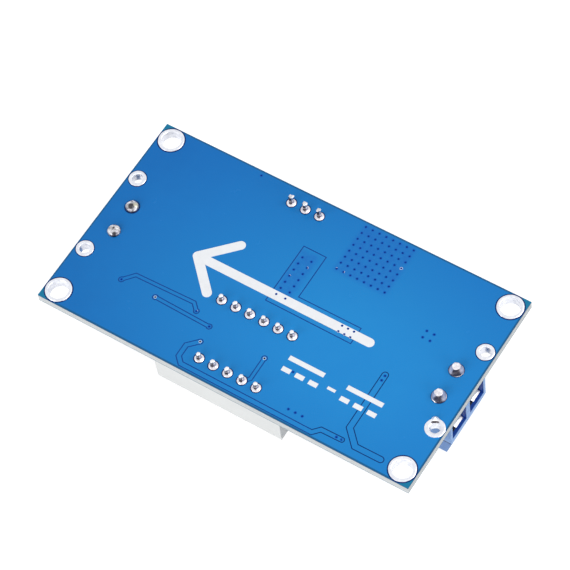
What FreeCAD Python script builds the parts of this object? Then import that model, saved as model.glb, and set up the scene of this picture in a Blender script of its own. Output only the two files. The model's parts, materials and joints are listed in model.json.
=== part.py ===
"""Adjustable step-down converter module: circuit board, screw terminals, voltmeter and power parts.

The board lies with its solder face up, as it was photographed, so every component hangs below it.
The origin is the centre of the four corner holes, on the solder face. X runs along the board
towards the input terminal, and Z points out of the solder face. All sizes are in millimetres.
"""
import FreeCAD, Part
import math
import os
import re

import Sketcher
from FreeCAD import Rotation, Vector

# Driving sizes, one alias each.
SIZES = {
    # Circuit board
    "board_length": 66.0,
    "board_width": 36.0,
    "board_thickness": 1.6,
    "pin_pitch": 2.54,
    # Plated rings at the corners and plated pads for soldered wires
    "plating_wall": 0.12,
    "plating_rise": 0.12,
    "corner_inset": 2.32,
    "corner_hole_radius": 1.6,
    "corner_ring_radius": 2.12,
    "wire_inset": 1.65,
    "wire_row_y": -0.22,
    "wire_row_half": 7.33,
    "wire_hole_radius": 0.85,
    "wire_ring_radius": 1.42,
    # Vias, and the grooves between copper areas
    "via_radius": 0.18,
    "via_pad_radius": 0.42,
    "thermal_x": 8.68,
    "thermal_inset": 5.21,
    "thermal_pitch": 1.22,
    "groove_width": 0.16,
    "groove_depth": 0.04,
    "signal_width": 0.62,
    "sense_width": 0.8,
    "supply_track_width": 2.5,
    # Pins and their solder
    "pin_hole_radius": 0.5,
    "small_pad_radius": 0.78,
    "small_tip_radius": 0.42,
    "small_joint_height": 0.7,
    "joint_foot_height": 0.25,
    # Voltmeter display
    "display_x": -1.5,
    "display_inset": 8.08,
    "display_length": 22.5,
    "display_width": 14.0,
    "display_height": 7.2,
    "display_wall": 0.9,
    "display_cavity": 2.6,
    "display_resin_inset": 0.35,
    "display_row_half": 5.08,
    "display_pin_size": 0.5,
    "display_pin_tail": 1.4,
    "display_pin_embed": 1.2,
    "digit_pitch": 7.3,
    "digit_height": 9.14,
    "digit_width": 4.9,
    "digit_slant": 0.16,
    "segment_width": 1.05,
    "segment_gap": 0.16,
    "dot_radius": 0.6,
    # Multi-turn trimmer
    "trimmer_x": -5.37,
    "trimmer_inset": 2.84,
    "trimmer_length": 9.53,
    "trimmer_width": 4.83,
    "trimmer_height": 10.03,
    "trimmer_edge": 0.35,
    "trimmer_foot": 0.4,
    "trimmer_foot_width": 1.3,
    "trimmer_seal_depth": 0.9,
    "trimmer_seal_wall": 0.7,
    "trimmer_pin_size": 0.5,
    "trimmer_pin_tail": 1.95,
    "adjuster_radius": 1.09,
    "adjuster_length": 3.6,
    "adjuster_rise": 1.2,
    "adjuster_inset": 1.75,
    "adjuster_side": 0.55,
    "adjuster_slot_width": 0.5,
    "adjuster_slot_depth": 0.7,
    "running_gap": 0.05,
    # Screw terminals
    "terminal_inset": 4.3,
    "terminal_y": -0.18,
    "terminal_depth": 7.6,
    "terminal_pitch": 5.08,
    "terminal_height": 10.25,
    "terminal_face_height": 6.45,
    "terminal_setback": 1.05,
    "terminal_back_step": 0.8,
    "terminal_side_step": 0.25,
    "chamber_width": 4.0,
    "chamber_back": 1.1,
    "window_floor": 1.2,
    "window_top": 5.5,
    "screw_offset": 0.3,
    "screw_hole_radius": 1.85,
    "screw_shank_radius": 1.2,
    "screw_head_radius": 1.6,
    "screw_head_height": 1.2,
    "screw_slot_width": 0.55,
    "screw_slot_depth": 0.75,
    "screw_sink": 0.05,
    "bridge_height": 1.1,
    "bridge_length": 4.2,
    "contact_width": 3.5,
    "contact_sheet": 0.6,
    "contact_level": 2.4,
    "leaf_sheet": 0.35,
    "leaf_width": 2.75,
    "leaf_front": 3.27,
    "leaf_back": 1.5,
    "terminal_pin_offset": 0.46,
    "terminal_pin_width": 1.0,
    "terminal_pin_sheet": 0.8,
    "terminal_hole_radius": 0.75,
    "terminal_pad_radius": 1.12,
    "input_joint_tip_radius": 0.7,
    "input_joint_height": 1.25,
    "output_joint_tip_radius": 0.75,
    "output_joint_height": 0.75,
    # Switching regulator
    "regulator_x": 8.68,
    "regulator_inset": 6.45,
    "regulator_width": 10.1,
    "regulator_length": 8.9,
    "regulator_height": 4.4,
    "regulator_draft": 0.35,
    "tab_length": 8.7,
    "tab_sheet": 1.27,
    "tab_reach": 1.35,
    "regulator_lead_pitch": 1.7,
    "regulator_lead_width": 0.8,
    "regulator_lead_sheet": 0.45,
    "regulator_lead_level": 2.3,
    "regulator_lead_reach": 4.4,
    "regulator_lead_foot": 2.2,
    # Diode
    "diode_x": 0.2,
    "diode_y": 8.5,
    "diode_length": 4.4,
    "diode_width": 3.6,
    "diode_height": 2.2,
    "diode_draft": 0.25,
    "diode_lead_width": 2.0,
    "diode_lead_sheet": 0.25,
    "diode_lead_reach": 0.55,
    "diode_lead_foot": 1.1,
    # Inductor
    "inductor_x": -9.0,
    "inductor_gap_share": 0.4693,
    "inductor_side": 12.0,
    "inductor_height": 7.6,
    "inductor_base": 0.5,
    "inductor_corner": 1.6,
    "inductor_bore_radius": 5.4,
    "drum_radius": 5.05,
    "drum_core_radius": 2.4,
    "drum_flange": 0.9,
    "drum_drop": 0.3,
    "winding_radius": 4.6,
    "inductor_clip_width": 4.0,
    "inductor_clip_length": 1.8,
    "inductor_clip_sheet": 0.15,
    # Electrolytic capacitors
    "input_capacitor_x": 19.5,
    "input_capacitor_y": 10.6,
    "output_capacitor_x": -20.4,
    "output_capacitor_y": 9.0,
    "can_radius": 4.0,
    "can_height": 8.9,
    "can_groove_height": 1.5,
    "can_groove_width": 0.8,
    "can_groove_depth": 0.3,
    "can_edge": 0.35,
    "capacitor_base_side": 8.3,
    "capacitor_base_height": 1.5,
    "capacitor_base_corner": 1.5,
    "capacitor_seat": 0.9,
    "capacitor_lead_width": 0.7,
    "capacitor_lead_sheet": 0.15,
    "capacitor_lead_inner": 1.5,
    "capacitor_lead_outer": 4.9,
    # Display controller chip
    "controller_x": -19.5,
    "controller_inset": 7.5,
    "controller_length": 6.5,
    "controller_width": 4.4,
    "controller_height": 1.05,
    "controller_draft": 0.12,
    "controller_lead_pitch": 0.65,
    "controller_lead_width": 0.24,
    "controller_lead_sheet": 0.13,
    "controller_lead_level": 0.45,
    "controller_lead_reach": 1.0,
    "controller_lead_foot": 0.55,
    # Small supply regulator
    "supply_x": 15.5,
    "supply_y": -12.9,
    "supply_length": 4.5,
    "supply_width": 2.5,
    "supply_height": 1.5,
    "supply_lead_pitch": 1.5,
    "supply_lead_width": 0.45,
    "supply_lead_sheet": 0.4,
    "supply_lead_reach": 0.95,
    "supply_tab_width": 1.7,
    # Push buttons
    "button_x": 15.9,
    "button_y": -6.1,
    "button_spacing": 5.4,
    "button_length": 6.0,
    "button_width": 3.6,
    "button_height": 1.9,
    "button_well_radius": 1.5,
    "button_well_depth": 1.2,
    "button_cover_length": 4.2,
    "button_cover_sheet": 0.2,
    "button_cover_skirt": 0.8,
    "plunger_radius": 1.0,
    "plunger_flange_radius": 1.4,
    "plunger_flange_height": 0.45,
    "plunger_rise": 1.1,
    "plunger_edge": 0.2,
    "button_lead_width": 1.2,
    "button_lead_sheet": 0.15,
    "button_lead_reach": 0.9,
    # Chip parts
    "chip_length": 2.0,
    "chip_width": 1.25,
    "chip_height": 0.6,
    "chip_cap_length": 0.4,
    "chip_capacitor_height": 0.95,
}

# Vias of the switching area, in columns along the board's width.
SWITCH_VIA_COLUMNS = (-1.2, 0.42)
SWITCH_VIA_ROWS = 7
SWITCH_VIA_FIRST = 0.17
SWITCH_VIA_PITCH = 1.245
LEAD_VIA_PLACES = [(10.4 + 1.05 * column, 0.42 - 1.1 * row) for column in range(3) for row in range(2)]

# Vias beside the input capacitor, from its centre.
INPUT_VIA_STEPS = [(2.42 + 1.27 * column, -5.9 + 1.24 * row) for column in range(2) for row in range(2)]

# Single vias: x from the middle of the board, y from its lower long edge.
LOW_VIA_PLACES = [
    (10.94, 2.39),
    (12.15, 2.39),
    (13.36, 2.39),
    (7.19, 8.03),
    (8.2, 8.03),
    (-23.29, 8.64),
    (-10.17, 9.64),
    (-17.0, 8.6),
    (-7.0, 8.35),
    (3.24, 7.87),
    (-6.75, 5.49),
    (19.56, 1.97),
    (20.44, 2.0),
    (20.45, 14.27),
    (20.4, 13.38),
]
UPPER_VIA_PLACE = ("-14.7", "board_width / 2 - 0.9")

# Tracks that grooves outline on the solder face: the width's name and the centre line, whose
# points are given as those of the single vias are. The last track ends near the corner ring.
TRACKS = [
    ("signal_width", [(-23.29, 8.64), (-21.75, 10.4), (-11.3, 10.73), (-10.17, 9.64)]),
    ("signal_width", [(-17.0, 8.6), (-7.0, 8.35)]),
    ("signal_width", [(2.75, 3.3), (3.28, 3.9), (3.24, 7.87)]),
    ("sense_width", [(-6.75, 5.49), (-8.28, 3.95), (-8.25, 1.85), (-7.25, 0.88),
                     (15.93, 0.82), (16.86, 1.88), (18.37, 2.11), (20.5, 2.0)]),
    ("supply_track_width", [(20.4, 14.4), (20.45, 4.3), (22.75, 2.0), (SIZES["board_length"] / 2 - 5.7, 2.05)]),
]
SWITCH_AREA = [(-2.14, -1.6), (-2.14, 9.55), (2.06, 9.52), (2.1, 1.5), (13.2, 1.52), (13.2, -1.66)]

# Three chips share the room between the output terminal and the display.
ROOM_START = "(terminal_inset + terminal_depth / 2 - board_length / 2)"
ROOM_LENGTH = f"(display_x - display_length / 2 - {ROOM_START})"

# Chip parts: place on the board, and whether the chip lies across it.
RESISTOR_PLACES = [
    (f"{ROOM_START} + 0.20576 * {ROOM_LENGTH}", "-4.6", False),
    (f"{ROOM_START} + 0.45267 * {ROOM_LENGTH}", "-4.6", False),
    (f"{ROOM_START} + 0.69959 * {ROOM_LENGTH}", "-4.6", False),
    ("-22.6", "2 - board_width / 2", False),
    ("-19.4", "2 - board_width / 2", False),
    ("-13.2", "board_width / 2 - 4", False),
    ("-13.2", "board_width / 2 - 1.8", False),
    ("1.6", "board_width / 2 - 2.1", True),
    ("23.2", "-10.4", True),
    ("11.9", "-12.6", True),
]
CAPACITOR_PLACES = [
    ("-16.2", "2 - board_width / 2", False),
    ("-14.6", "-8", True),
    ("-24.9", "-10.6", True),
    ("16.8", "0.6", False),
    ("20", "0.6", False),
    ("19.9", "-13", True),
]
LED_PLACE = ("23.2", "-6.6", True)

# Sides of the small holes and of the solder round a pin
VIA_SIDES = 6
PIN_HOLE_SIDES = 8
JOINT_SIDES = 10
DOT_SIDES = 12

doc = FreeCAD.newDocument("StepDownModule")
sheet = doc.addObject("Spreadsheet::Sheet", "Sizes")
for row, (alias, value) in enumerate(SIZES.items(), start=1):
    sheet.set(f"A{row}", alias)
    sheet.set(f"B{row}", str(value))
    sheet.setAlias(f"B{row}", alias)
doc.recompute()

NODES = []
FACE_DOWN = Rotation(Vector(1, 0, 0), 180)
DISPLAY_Y = "(display_inset - board_width / 2)"
TRIMMER_Y = "(board_width / 2 - trimmer_inset)"
REGULATOR_Y = "(board_width / 2 - regulator_inset)"
CONTROLLER_Y = "(controller_inset - board_width / 2)"

# The inductor lies in the room between the display and the trimmer.
INDUCTOR_ROOM = f"({TRIMMER_Y} - trimmer_width / 2 - {DISPLAY_Y} - display_width / 2 - inductor_side)"
INDUCTOR_Y = (f"({DISPLAY_Y} + (display_width + inductor_side) / 2"
              f" + inductor_gap_share * {INDUCTOR_ROOM})")


def bound(text):
    """Return a size written in words as an expression on the sheet."""
    return re.sub(r"[a-z]\w*", lambda word: f"Sizes.{word[0]}" if word[0] in SIZES else word[0], text)


def bind(piece, **sizes):
    """Tie properties of a piece to the sheet."""
    for name, text in sizes.items():
        piece.setExpression(name, bound(text))
    return piece


def put(piece, x="0", y="0", z="0"):
    """Tie a piece's place to the sheet."""
    for axis, text in zip("xyz", (x, y, z)):
        piece.setExpression(f"Placement.Base.{axis}", bound(text))
    return piece


def block(length, width, height, x="0", y="0", z="0"):
    """Make a box centred on x and y that stands on z."""
    piece = doc.addObject("Part::Box", "Block")
    bind(piece, Length=length, Width=width, Height=height)
    return put(piece, f"({x}) - ({length}) / 2", f"({y}) - ({width}) / 2", z)


def rod(radius, height, x="0", y="0", z="0"):
    """Make an upright cylinder that stands on z."""
    piece = doc.addObject("Part::Cylinder", "Rod")
    bind(piece, Radius=radius, Height=height)
    return put(piece, x, y, z)


def prism(sides, radius, height, x="0", y="0", z="0"):
    """Make an upright prism that stands on z."""
    piece = doc.addObject("Part::Prism", "Prism")
    piece.Polygon = sides
    bind(piece, Circumradius=radius, Height=height)
    return put(piece, x, y, z)


def group(pieces):
    """Keep separate solids together."""
    piece = doc.addObject("Part::Compound", "Group")
    piece.Links = pieces
    return piece


def fuse(*pieces):
    """Join solids that touch."""
    piece = doc.addObject("Part::MultiFuse", "Fusion")
    piece.Shapes = list(pieces)
    piece.Refine = True
    return piece


def cut(base, *tools):
    """Take tools that stay clear of each other out of a base."""
    piece = doc.addObject("Part::Cut", "Cut")
    piece.Base = base
    piece.Tool = group(list(tools)) if len(tools) > 1 else tools[0]
    piece.Refine = True
    return piece


def chamfer_edges(piece, size, chosen):
    """Bevel the edges of a piece that the test picks."""
    doc.recompute()
    bevel = doc.addObject("Part::Chamfer", "Bevel")
    bevel.Base = piece
    width = number(size)
    edges = enumerate(piece.Shape.Edges, start=1)
    bevel.Edges = [(place, width, width) for place, edge in edges if chosen(edge)]
    return bevel


def origin_plane(body, role):
    """Return one of a body's own origin planes."""
    return next(feature for feature in body.Origin.OriginFeatures if feature.Role == role)


def draw(sketch, points):
    """Add a closed outline whose corners are tied to the sheet."""
    first = sketch.GeometryCount
    count = len(points)
    turn = 2 * math.pi / count
    start = [Vector(3 * math.cos(i * turn) + 0.1, 3 * math.sin(i * turn) + 0.1, 0) for i in range(count)]
    for i in range(count):
        sketch.addGeometry(Part.LineSegment(start[i], start[(i + 1) % count]), False)
    for i in range(count):
        sketch.addConstraint(Sketcher.Constraint("Coincident", first + i, 2, first + (i + 1) % count, 1))
    for i, (x, y) in enumerate(points):
        for kind, text, place in (("DistanceX", x, start[i].x), ("DistanceY", y, start[i].y)):
            added = sketch.addConstraint(Sketcher.Constraint(kind, -1, 1, first + i, 1, place))
            sketch.setExpression(f"Constraints[{added}]", bound(text))


def outline(body, role, points):
    """Sketch a closed outline on one of a body's planes."""
    sketch = body.newObject("Sketcher::SketchObject", "Outline")
    sketch.AttachmentSupport = (origin_plane(body, role), "")
    sketch.MapMode = "FlatFace"
    draw(sketch, points)
    return sketch


def extruded(role, points, depth):
    """Make a body whose side outline runs equally far to both sides of its plane."""
    body = doc.addObject("PartDesign::Body", "Body")
    pad = body.newObject("PartDesign::Pad", "Pad")
    pad.Profile = outline(body, role, points)
    pad.setExpression("Length", bound(depth))
    pad.SideType = "Symmetric"
    body.Tip = pad
    return body


def turned(points, x="0", y="0", z="0"):
    """Make a body turned about its upright axis from radius and height pairs."""
    body = doc.addObject("PartDesign::Body", "Body")
    turn = body.newObject("PartDesign::Revolution", "Turning")
    sketch = outline(body, "XZ_Plane", points)
    turn.Profile = sketch
    turn.ReferenceAxis = (sketch, ["V_Axis"])
    turn.Angle = 360
    body.Tip = turn
    return put(body, x, y, z)


def name_node(piece, label):
    """Give a finished sub-part the name of its node."""
    piece.Label = label
    NODES.append(piece)
    return piece


def seat(piece, label, x="0", y="0", turn=0):
    """Hang an upright sub-part from the component face, turned about its own upright axis."""
    if piece.TypeId == "Part::Box":
        piece = group([piece])
    name_node(piece, label)
    piece.Placement = FreeCAD.Placement(Vector(), FACE_DOWN.multiply(Rotation(Vector(0, 0, 1), turn)))
    return put(piece, x, y, "-board_thickness")


def copies(make, places):
    """Build one piece for each place."""
    return [make(*place) for place in places]


def number(alias):
    """Read a driving size as a plain number."""
    return float(sheet.get(alias))


# Circuit board, with its rings, pads, vias and grooves


def via_places():
    """List the vias as x and y texts."""
    places = []
    for column in range(8):
        for line in range(8):
            x = f"thermal_x + {column - 3.5} * thermal_pitch"
            places.append((x, f"board_width / 2 - thermal_inset + {line - 3.5} * thermal_pitch"))
    for x in SWITCH_VIA_COLUMNS:
        for line in range(SWITCH_VIA_ROWS):
            places.append((str(x), str(SWITCH_VIA_FIRST + SWITCH_VIA_PITCH * line)))
    places += [(str(x), str(y)) for x, y in LEAD_VIA_PLACES]
    places += [(f"input_capacitor_x + {x}", f"input_capacitor_y + {y}") for x, y in INPUT_VIA_STEPS]
    places += [(str(x), f"{y} - board_width / 2") for x, y in LOW_VIA_PLACES]
    return places + [UPPER_VIA_PLACE]


def corner_places():
    """List the corner holes."""
    return [(f"{i} * (board_length / 2 - corner_inset)", f"{j} * (board_width / 2 - corner_inset)")
            for i in (-1, 1) for j in (-1, 1)]


def wire_places():
    """List the plated holes for soldered wires."""
    return [(f"{i} * (board_length / 2 - wire_inset)", f"wire_row_y + {j} * wire_row_half")
            for i in (-1, 1) for j in (-1, 1)]


def display_pin_places():
    """List the display's pins: six along the inner row and five along the outer one."""
    inner = [(f"display_x + {k - 2.5} * pin_pitch", f"{DISPLAY_Y} + display_row_half") for k in range(6)]
    outer = [(f"display_x + {k - 1.5} * pin_pitch", f"{DISPLAY_Y} - display_row_half") for k in range(5)]
    return inner + outer


def trimmer_pin_places():
    """List the trimmer's pins."""
    return [(f"trimmer_x + {k} * pin_pitch", TRIMMER_Y) for k in (-1, 0, 1)]


def terminal_pin_places(side):
    """List the pins of the terminal at one end of the board."""
    x = f"{side} * (board_length / 2 - terminal_inset + terminal_pin_offset)"
    return [(x, f"terminal_y + {k} * terminal_pitch / 2") for k in (-1, 1)]


def drilled(radius):
    """Return a maker of round holes through the board."""
    return lambda x, y: rod(radius, "board_thickness", x, y, "-board_thickness")


def pierced(radius, sides):
    """Return a maker of many-sided stand-ins for small holes through the board."""
    return lambda x, y: prism(sides, radius, "board_thickness", x, y, "-board_thickness")


def ring_points(count, radius, height, start=0.0):
    """List points that stand evenly round the upright axis."""
    turns = [start + 2 * math.pi * i / count for i in range(count)]
    return [Vector(radius * math.cos(turn), radius * math.sin(turn), height) for turn in turns]


def strip(points, half_width, end_radius):
    """Return the flat strip that runs along a line of points, with an eight-sided pad at each end."""
    pieces = []
    for place, (x, y) in enumerate(points):
        radius = max(half_width, end_radius) if place in (0, len(points) - 1) else half_width
        corners = ring_points(8, radius / math.cos(math.pi / 8), 0, math.pi / 8)
        disc = Part.Face(Part.makePolygon(corners + corners[:1]))
        pieces.append(disc.translated(Vector(x, y, 0)))
    for (x, y), (next_x, next_y) in zip(points, points[1:]):
        along = Vector(next_x - x, next_y - y, 0)
        side = Vector(-along.y, along.x, 0).multiply(half_width / along.Length)
        start, end = Vector(x, y, 0), Vector(next_x, next_y, 0)
        pieces.append(Part.Face(Part.makePolygon([start + side, end + side, end - side, start - side,
                                                  start + side])))
    return pieces[0].multiFuse(pieces[1:]).removeSplitter()


def groove(inner, outer):
    """Make the thin moat between two outlines, sunk into the solder face."""
    piece = doc.addObject("Part::Feature", "Groove")
    piece.Shape = outer.cut(inner).extrude(Vector(0, 0, -number("groove_depth")))
    return piece


def grooves():
    """Make the moats round the tracks and inside the border of the switching copper."""
    moat = number("groove_width")
    made = []
    end = number("via_pad_radius")
    for width, places in TRACKS:
        half = number(width) / 2
        points = [(x, y - number("board_width") / 2) for x, y in places]
        inner = strip(points, half - moat / 2, end - moat / 2)
        made.append(groove(inner, strip(points, half + moat / 2, end + moat / 2)))
    border = Part.makePolygon([Vector(x, y, 0) for x, y in SWITCH_AREA + SWITCH_AREA[:1]])
    made.append(groove(Part.Face(border.makeOffset2D(-moat, 2)), Part.Face(border)))
    return made


def circuit_board():
    """Build the drilled board."""
    plate = block("board_length", "board_width", "board_thickness", z="-board_thickness")
    holes = copies(drilled("corner_hole_radius + plating_wall"), corner_places())
    holes += copies(drilled("wire_hole_radius + plating_wall"), wire_places())
    small_pins = display_pin_places() + trimmer_pin_places()
    large_pins = terminal_pin_places(-1) + terminal_pin_places(1)
    holes += copies(pierced("pin_hole_radius", PIN_HOLE_SIDES), small_pins)
    holes += copies(pierced("terminal_hole_radius", PIN_HOLE_SIDES), large_pins)
    holes += copies(pierced("via_radius", VIA_SIDES), via_places())
    name_node(cut(cut(plate, *holes), *grooves()), "circuit_board")


def plated_ring(hole, ring):
    """Return a maker of plated rings: a lined hole with a rounded rim on both faces."""
    profile = [
        (ring, "0"),
        (f"({ring} + {hole}) / 2", "plating_rise"),
        (hole, "plating_rise / 3"),
        (hole, "-board_thickness - plating_rise / 3"),
        (f"({ring} + {hole}) / 2", "-board_thickness - plating_rise"),
        (ring, "-board_thickness"),
        (f"{hole} + plating_wall", "-board_thickness"),
        (f"{hole} + plating_wall", "0"),
    ]
    return lambda x, y: turned(profile, x, y)


def plating():
    """Build the corner rings and the wire pads."""
    corners = copies(plated_ring("corner_hole_radius", "corner_ring_radius"), corner_places())
    name_node(group(corners), "corner_rings")
    wires = copies(plated_ring("wire_hole_radius", "wire_ring_radius"), wire_places())
    name_node(group(wires), "wire_pads")


def joint(x, y, pad, tip, height, pin_length, pin_width):
    """Make one solder joint: a many-sided flare up the pin, with the hole that the pin fills."""
    waist = (number(pad) + 2 * number(tip)) / 3
    levels = [(number(pad), 0), (waist, number("joint_foot_height")), (number(tip), number(height))]
    rings = [ring_points(JOINT_SIDES, radius, level) for radius, level in levels]
    faces = [Part.Face(Part.makePolygon(ring + ring[:1])) for ring in (rings[0], rings[-1])]
    for low, high in zip(rings, rings[1:]):
        for i in range(JOINT_SIDES):
            faces.append(Part.Face(Part.makePolygon([low[i - 1], low[i], high[i], high[i - 1], low[i - 1]])))
    flare = doc.addObject("Part::Feature", "Flare")
    flare.Shape = Part.makeSolid(Part.makeShell(faces))
    return cut(put(flare, x, y), block(pin_length, pin_width, height, x, y))


def solder():
    """Build the solder joints, one group for each part they hold."""
    display = [joint(x, y, "small_pad_radius", "small_tip_radius", "small_joint_height",
                     "display_pin_size", "display_pin_size") for x, y in display_pin_places()]
    name_node(group(display), "display_solder")
    trimmer = [joint(x, y, "small_pad_radius", "small_tip_radius", "small_joint_height",
                     "trimmer_pin_size", "trimmer_pin_size") for x, y in trimmer_pin_places()]
    name_node(group(trimmer), "trimmer_solder")
    for side, name in ((1, "input"), (-1, "output")):
        joints = [joint(x, y, "terminal_pad_radius", f"{name}_joint_tip_radius", f"{name}_joint_height",
                        "terminal_pin_sheet", "terminal_pin_width") for x, y in terminal_pin_places(side)]
        name_node(group(joints), f"{name}_terminal_solder")


# Voltmeter display


def segment_outlines(centre):
    """List the seven bars of one digit as six-cornered outlines, leaning with the digit."""
    half_width = "digit_width / 2 - segment_width / 2"
    half_height = "digit_height / 2 - segment_width / 2"
    bars = [("0", f"{k} * ({half_height})", True) for k in (-1, 0, 1)]
    bars += [(f"{i} * ({half_width})", f"{j} * ({half_height}) / 2", False) for i in (-1, 1) for j in (-1, 1)]
    outlines = []
    for x, y, lies in bars:
        reach = f"({half_width} - segment_gap)" if lies else f"(({half_height}) / 2 - segment_gap)"
        tips = [(f"-{reach}", "0"), (f"segment_width / 2 - {reach}", "segment_width / 2"),
                (f"{reach} - segment_width / 2", "segment_width / 2"), (reach, "0"),
                (f"{reach} - segment_width / 2", "-segment_width / 2"),
                (f"segment_width / 2 - {reach}", "-segment_width / 2")]
        if not lies:
            tips = [(across, along) for along, across in tips]
        corners = []
        for across, along in tips:
            up = f"({y} + {along})"
            corners.append((f"{centre} + {x} + {across} + digit_slant * {up}", up))
        outlines.append(corners)
    return outlines


def light_wells():
    """Build the solids that fill the display's segment and dot wells."""
    wells = []
    for digit in (-1, 0, 1):
        centre = f"{digit} * digit_pitch"
        for corners in segment_outlines(centre):
            sketch = doc.addObject("Sketcher::SketchObject", "Bar")
            draw(sketch, corners)
            bar = doc.addObject("Part::Extrusion", "Well")
            bar.Base = sketch
            bar.DirMode = "Normal"
            bar.Solid = True
            bind(bar, LengthFwd="display_height - display_cavity")
            wells.append(put(bar, z="display_cavity"))
        dot_x = f"{centre} + digit_pitch / 2 - digit_slant * digit_height / 2"
        wells.append(prism(DOT_SIDES, "dot_radius", "display_height - display_cavity", dot_x,
                           "dot_radius - digit_height / 2", "display_cavity"))
    return wells


def display():
    """Build the three-digit display: moulded housing, light wells, back resin and pins."""
    shell = block("display_length", "display_width", "display_height")
    cavity = block("display_length - 2 * display_wall", "display_width - 2 * display_wall", "display_cavity")
    housing = cut(cut(shell, cavity), *light_wells())
    seat(housing, "display_housing", "display_x", DISPLAY_Y)
    seat(group(light_wells()), "display_segments", "display_x", DISPLAY_Y)

    def pin(x, y):
        return block("display_pin_size", "display_pin_size",
                     "display_pin_embed + board_thickness + display_pin_tail",
                     x, y, "-board_thickness - display_pin_embed")

    resin = block("display_length - 2 * display_wall", "display_width - 2 * display_wall",
                  "display_cavity - display_resin_inset", "display_x", DISPLAY_Y,
                  "-board_thickness - display_cavity")
    name_node(cut(resin, *copies(pin, display_pin_places())), "display_resin")
    name_node(group(copies(pin, display_pin_places())), "display_pins")


# Multi-turn trimmer


def trimmer():
    """Build the trimmer: moulded housing on feet, base seal, adjusting screw and pins."""
    shell = block("trimmer_length", "trimmer_width", "trimmer_height - trimmer_foot", z="trimmer_foot")
    foot_x = "(trimmer_length - trimmer_foot_width) / 2"
    feet = [block("trimmer_foot_width", "trimmer_width", "trimmer_foot", f"{i} * {foot_x}") for i in (-1, 1)]
    seal_size = ("trimmer_length - 2 * trimmer_seal_wall", "trimmer_width - 2 * trimmer_seal_wall",
                 "trimmer_seal_depth")
    adjuster_x = "trimmer_length / 2 - adjuster_inset"
    bore = rod("adjuster_radius + running_gap", "adjuster_length + running_gap", adjuster_x, "adjuster_side",
               "trimmer_height - adjuster_length - running_gap")
    bevelled = chamfer_edges(shell, "trimmer_edge", is_upright)
    housing = cut(fuse(bevelled, *feet), block(*seal_size, z="trimmer_foot"), bore)
    seat(housing, "trimmer_housing", "trimmer_x", TRIMMER_Y)

    def pin(x, y):
        return block("trimmer_pin_size", "trimmer_pin_size",
                     "trimmer_foot + trimmer_seal_depth + board_thickness + trimmer_pin_tail",
                     x, y, "-board_thickness - trimmer_foot - trimmer_seal_depth")

    seal = block(*seal_size, "trimmer_x", TRIMMER_Y,
                 "-board_thickness - trimmer_foot - trimmer_seal_depth")
    name_node(cut(seal, *copies(pin, trimmer_pin_places())), "trimmer_seal")
    name_node(group(copies(pin, trimmer_pin_places())), "trimmer_pins")

    shank = rod("adjuster_radius", "adjuster_length + adjuster_rise", adjuster_x, "adjuster_side",
                "trimmer_height - adjuster_length")
    slot = block("3 * adjuster_radius", "adjuster_slot_width", "adjuster_slot_depth", adjuster_x,
                 "adjuster_side", "trimmer_height + adjuster_rise - adjuster_slot_depth")
    seat(cut(shank, slot), "trimmer_screw", "trimmer_x", TRIMMER_Y)


def is_upright(edge):
    """Tell whether an edge runs along Z."""
    low, high = edge.Vertexes[0].Point, edge.Vertexes[-1].Point
    return abs(high.z - low.z) > 1e-6 and abs(high.x - low.x) < 1e-6 and abs(high.y - low.y) < 1e-6


# Screw terminals


def terminal_side():
    """List the side outline of a terminal block, wire entry towards +X."""
    back = "-terminal_depth / 2"
    front = "terminal_depth / 2"
    return [(back, "0"), (front, "0"), (front, "terminal_face_height"),
            (f"{front} - terminal_setback", "terminal_height"),
            (f"{back} + terminal_back_step", "terminal_height"), (back, "terminal_face_height")]


def poles():
    """List the places of the two poles across a block."""
    return [f"{k} * terminal_pitch / 2" for k in (-1, 1)]


def terminal_chamber(y):
    """Make the hollow of one pole: the wire window, the pocket for the metal and the screw hole."""
    back = "chamber_back - terminal_depth / 2"
    window = block(f"terminal_depth / 2 - ({back})", "chamber_width", "window_top - window_floor",
                   f"(terminal_depth / 2 + {back}) / 2", y, "window_floor")
    pocket = block("bridge_length", "chamber_width", "window_top + bridge_height",
                   f"{back} + bridge_length / 2", y)
    hole = rod("screw_hole_radius", "terminal_height - window_top", "screw_offset", y, "window_top")
    return fuse(window, pocket, hole)


def terminal_contact(y):
    """Make one pole's fixed metal: the wire bar, the upright, the threaded bridge and the pin."""
    back = "chamber_back - terminal_depth / 2"
    bar = block("bridge_length", "contact_width", "contact_sheet", f"{back} + bridge_length / 2", y,
                "contact_level")
    upright = block("contact_sheet", "contact_width", "window_top + bridge_height - contact_level",
                    f"{back} + contact_sheet / 2", y, "contact_level")
    bridge = block("bridge_length", "contact_width", "bridge_height", f"{back} + bridge_length / 2", y,
                   "window_top")
    thread = rod("screw_shank_radius + running_gap", "bridge_height", "screw_offset", y, "window_top")
    pin = block("terminal_pin_sheet", "terminal_pin_width", "contact_level + board_thickness",
                "terminal_pin_offset", y, "-board_thickness")
    return cut(fuse(bar, upright, bridge, pin), thread)


def terminal_leaf(y):
    """Make the moving leaf that the screw presses onto the wire."""
    return block("leaf_front + leaf_back", "leaf_width", "leaf_sheet", "(leaf_front - leaf_back) / 2", y,
                 "window_top - leaf_sheet")


def terminal_screw(y):
    """Make one slotted clamping screw in its open position, its tip on the leaf."""
    top = "terminal_height - screw_sink"
    shank = rod("screw_shank_radius", f"{top} - window_top", "screw_offset", y, "window_top")
    head = rod("screw_head_radius", "screw_head_height", "screw_offset", y, f"{top} - screw_head_height")
    slot = block("3 * screw_head_radius", "screw_slot_width", "screw_slot_depth", "screw_offset", y,
                 f"{top} - screw_slot_depth")
    return cut(fuse(shank, head), slot)


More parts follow.
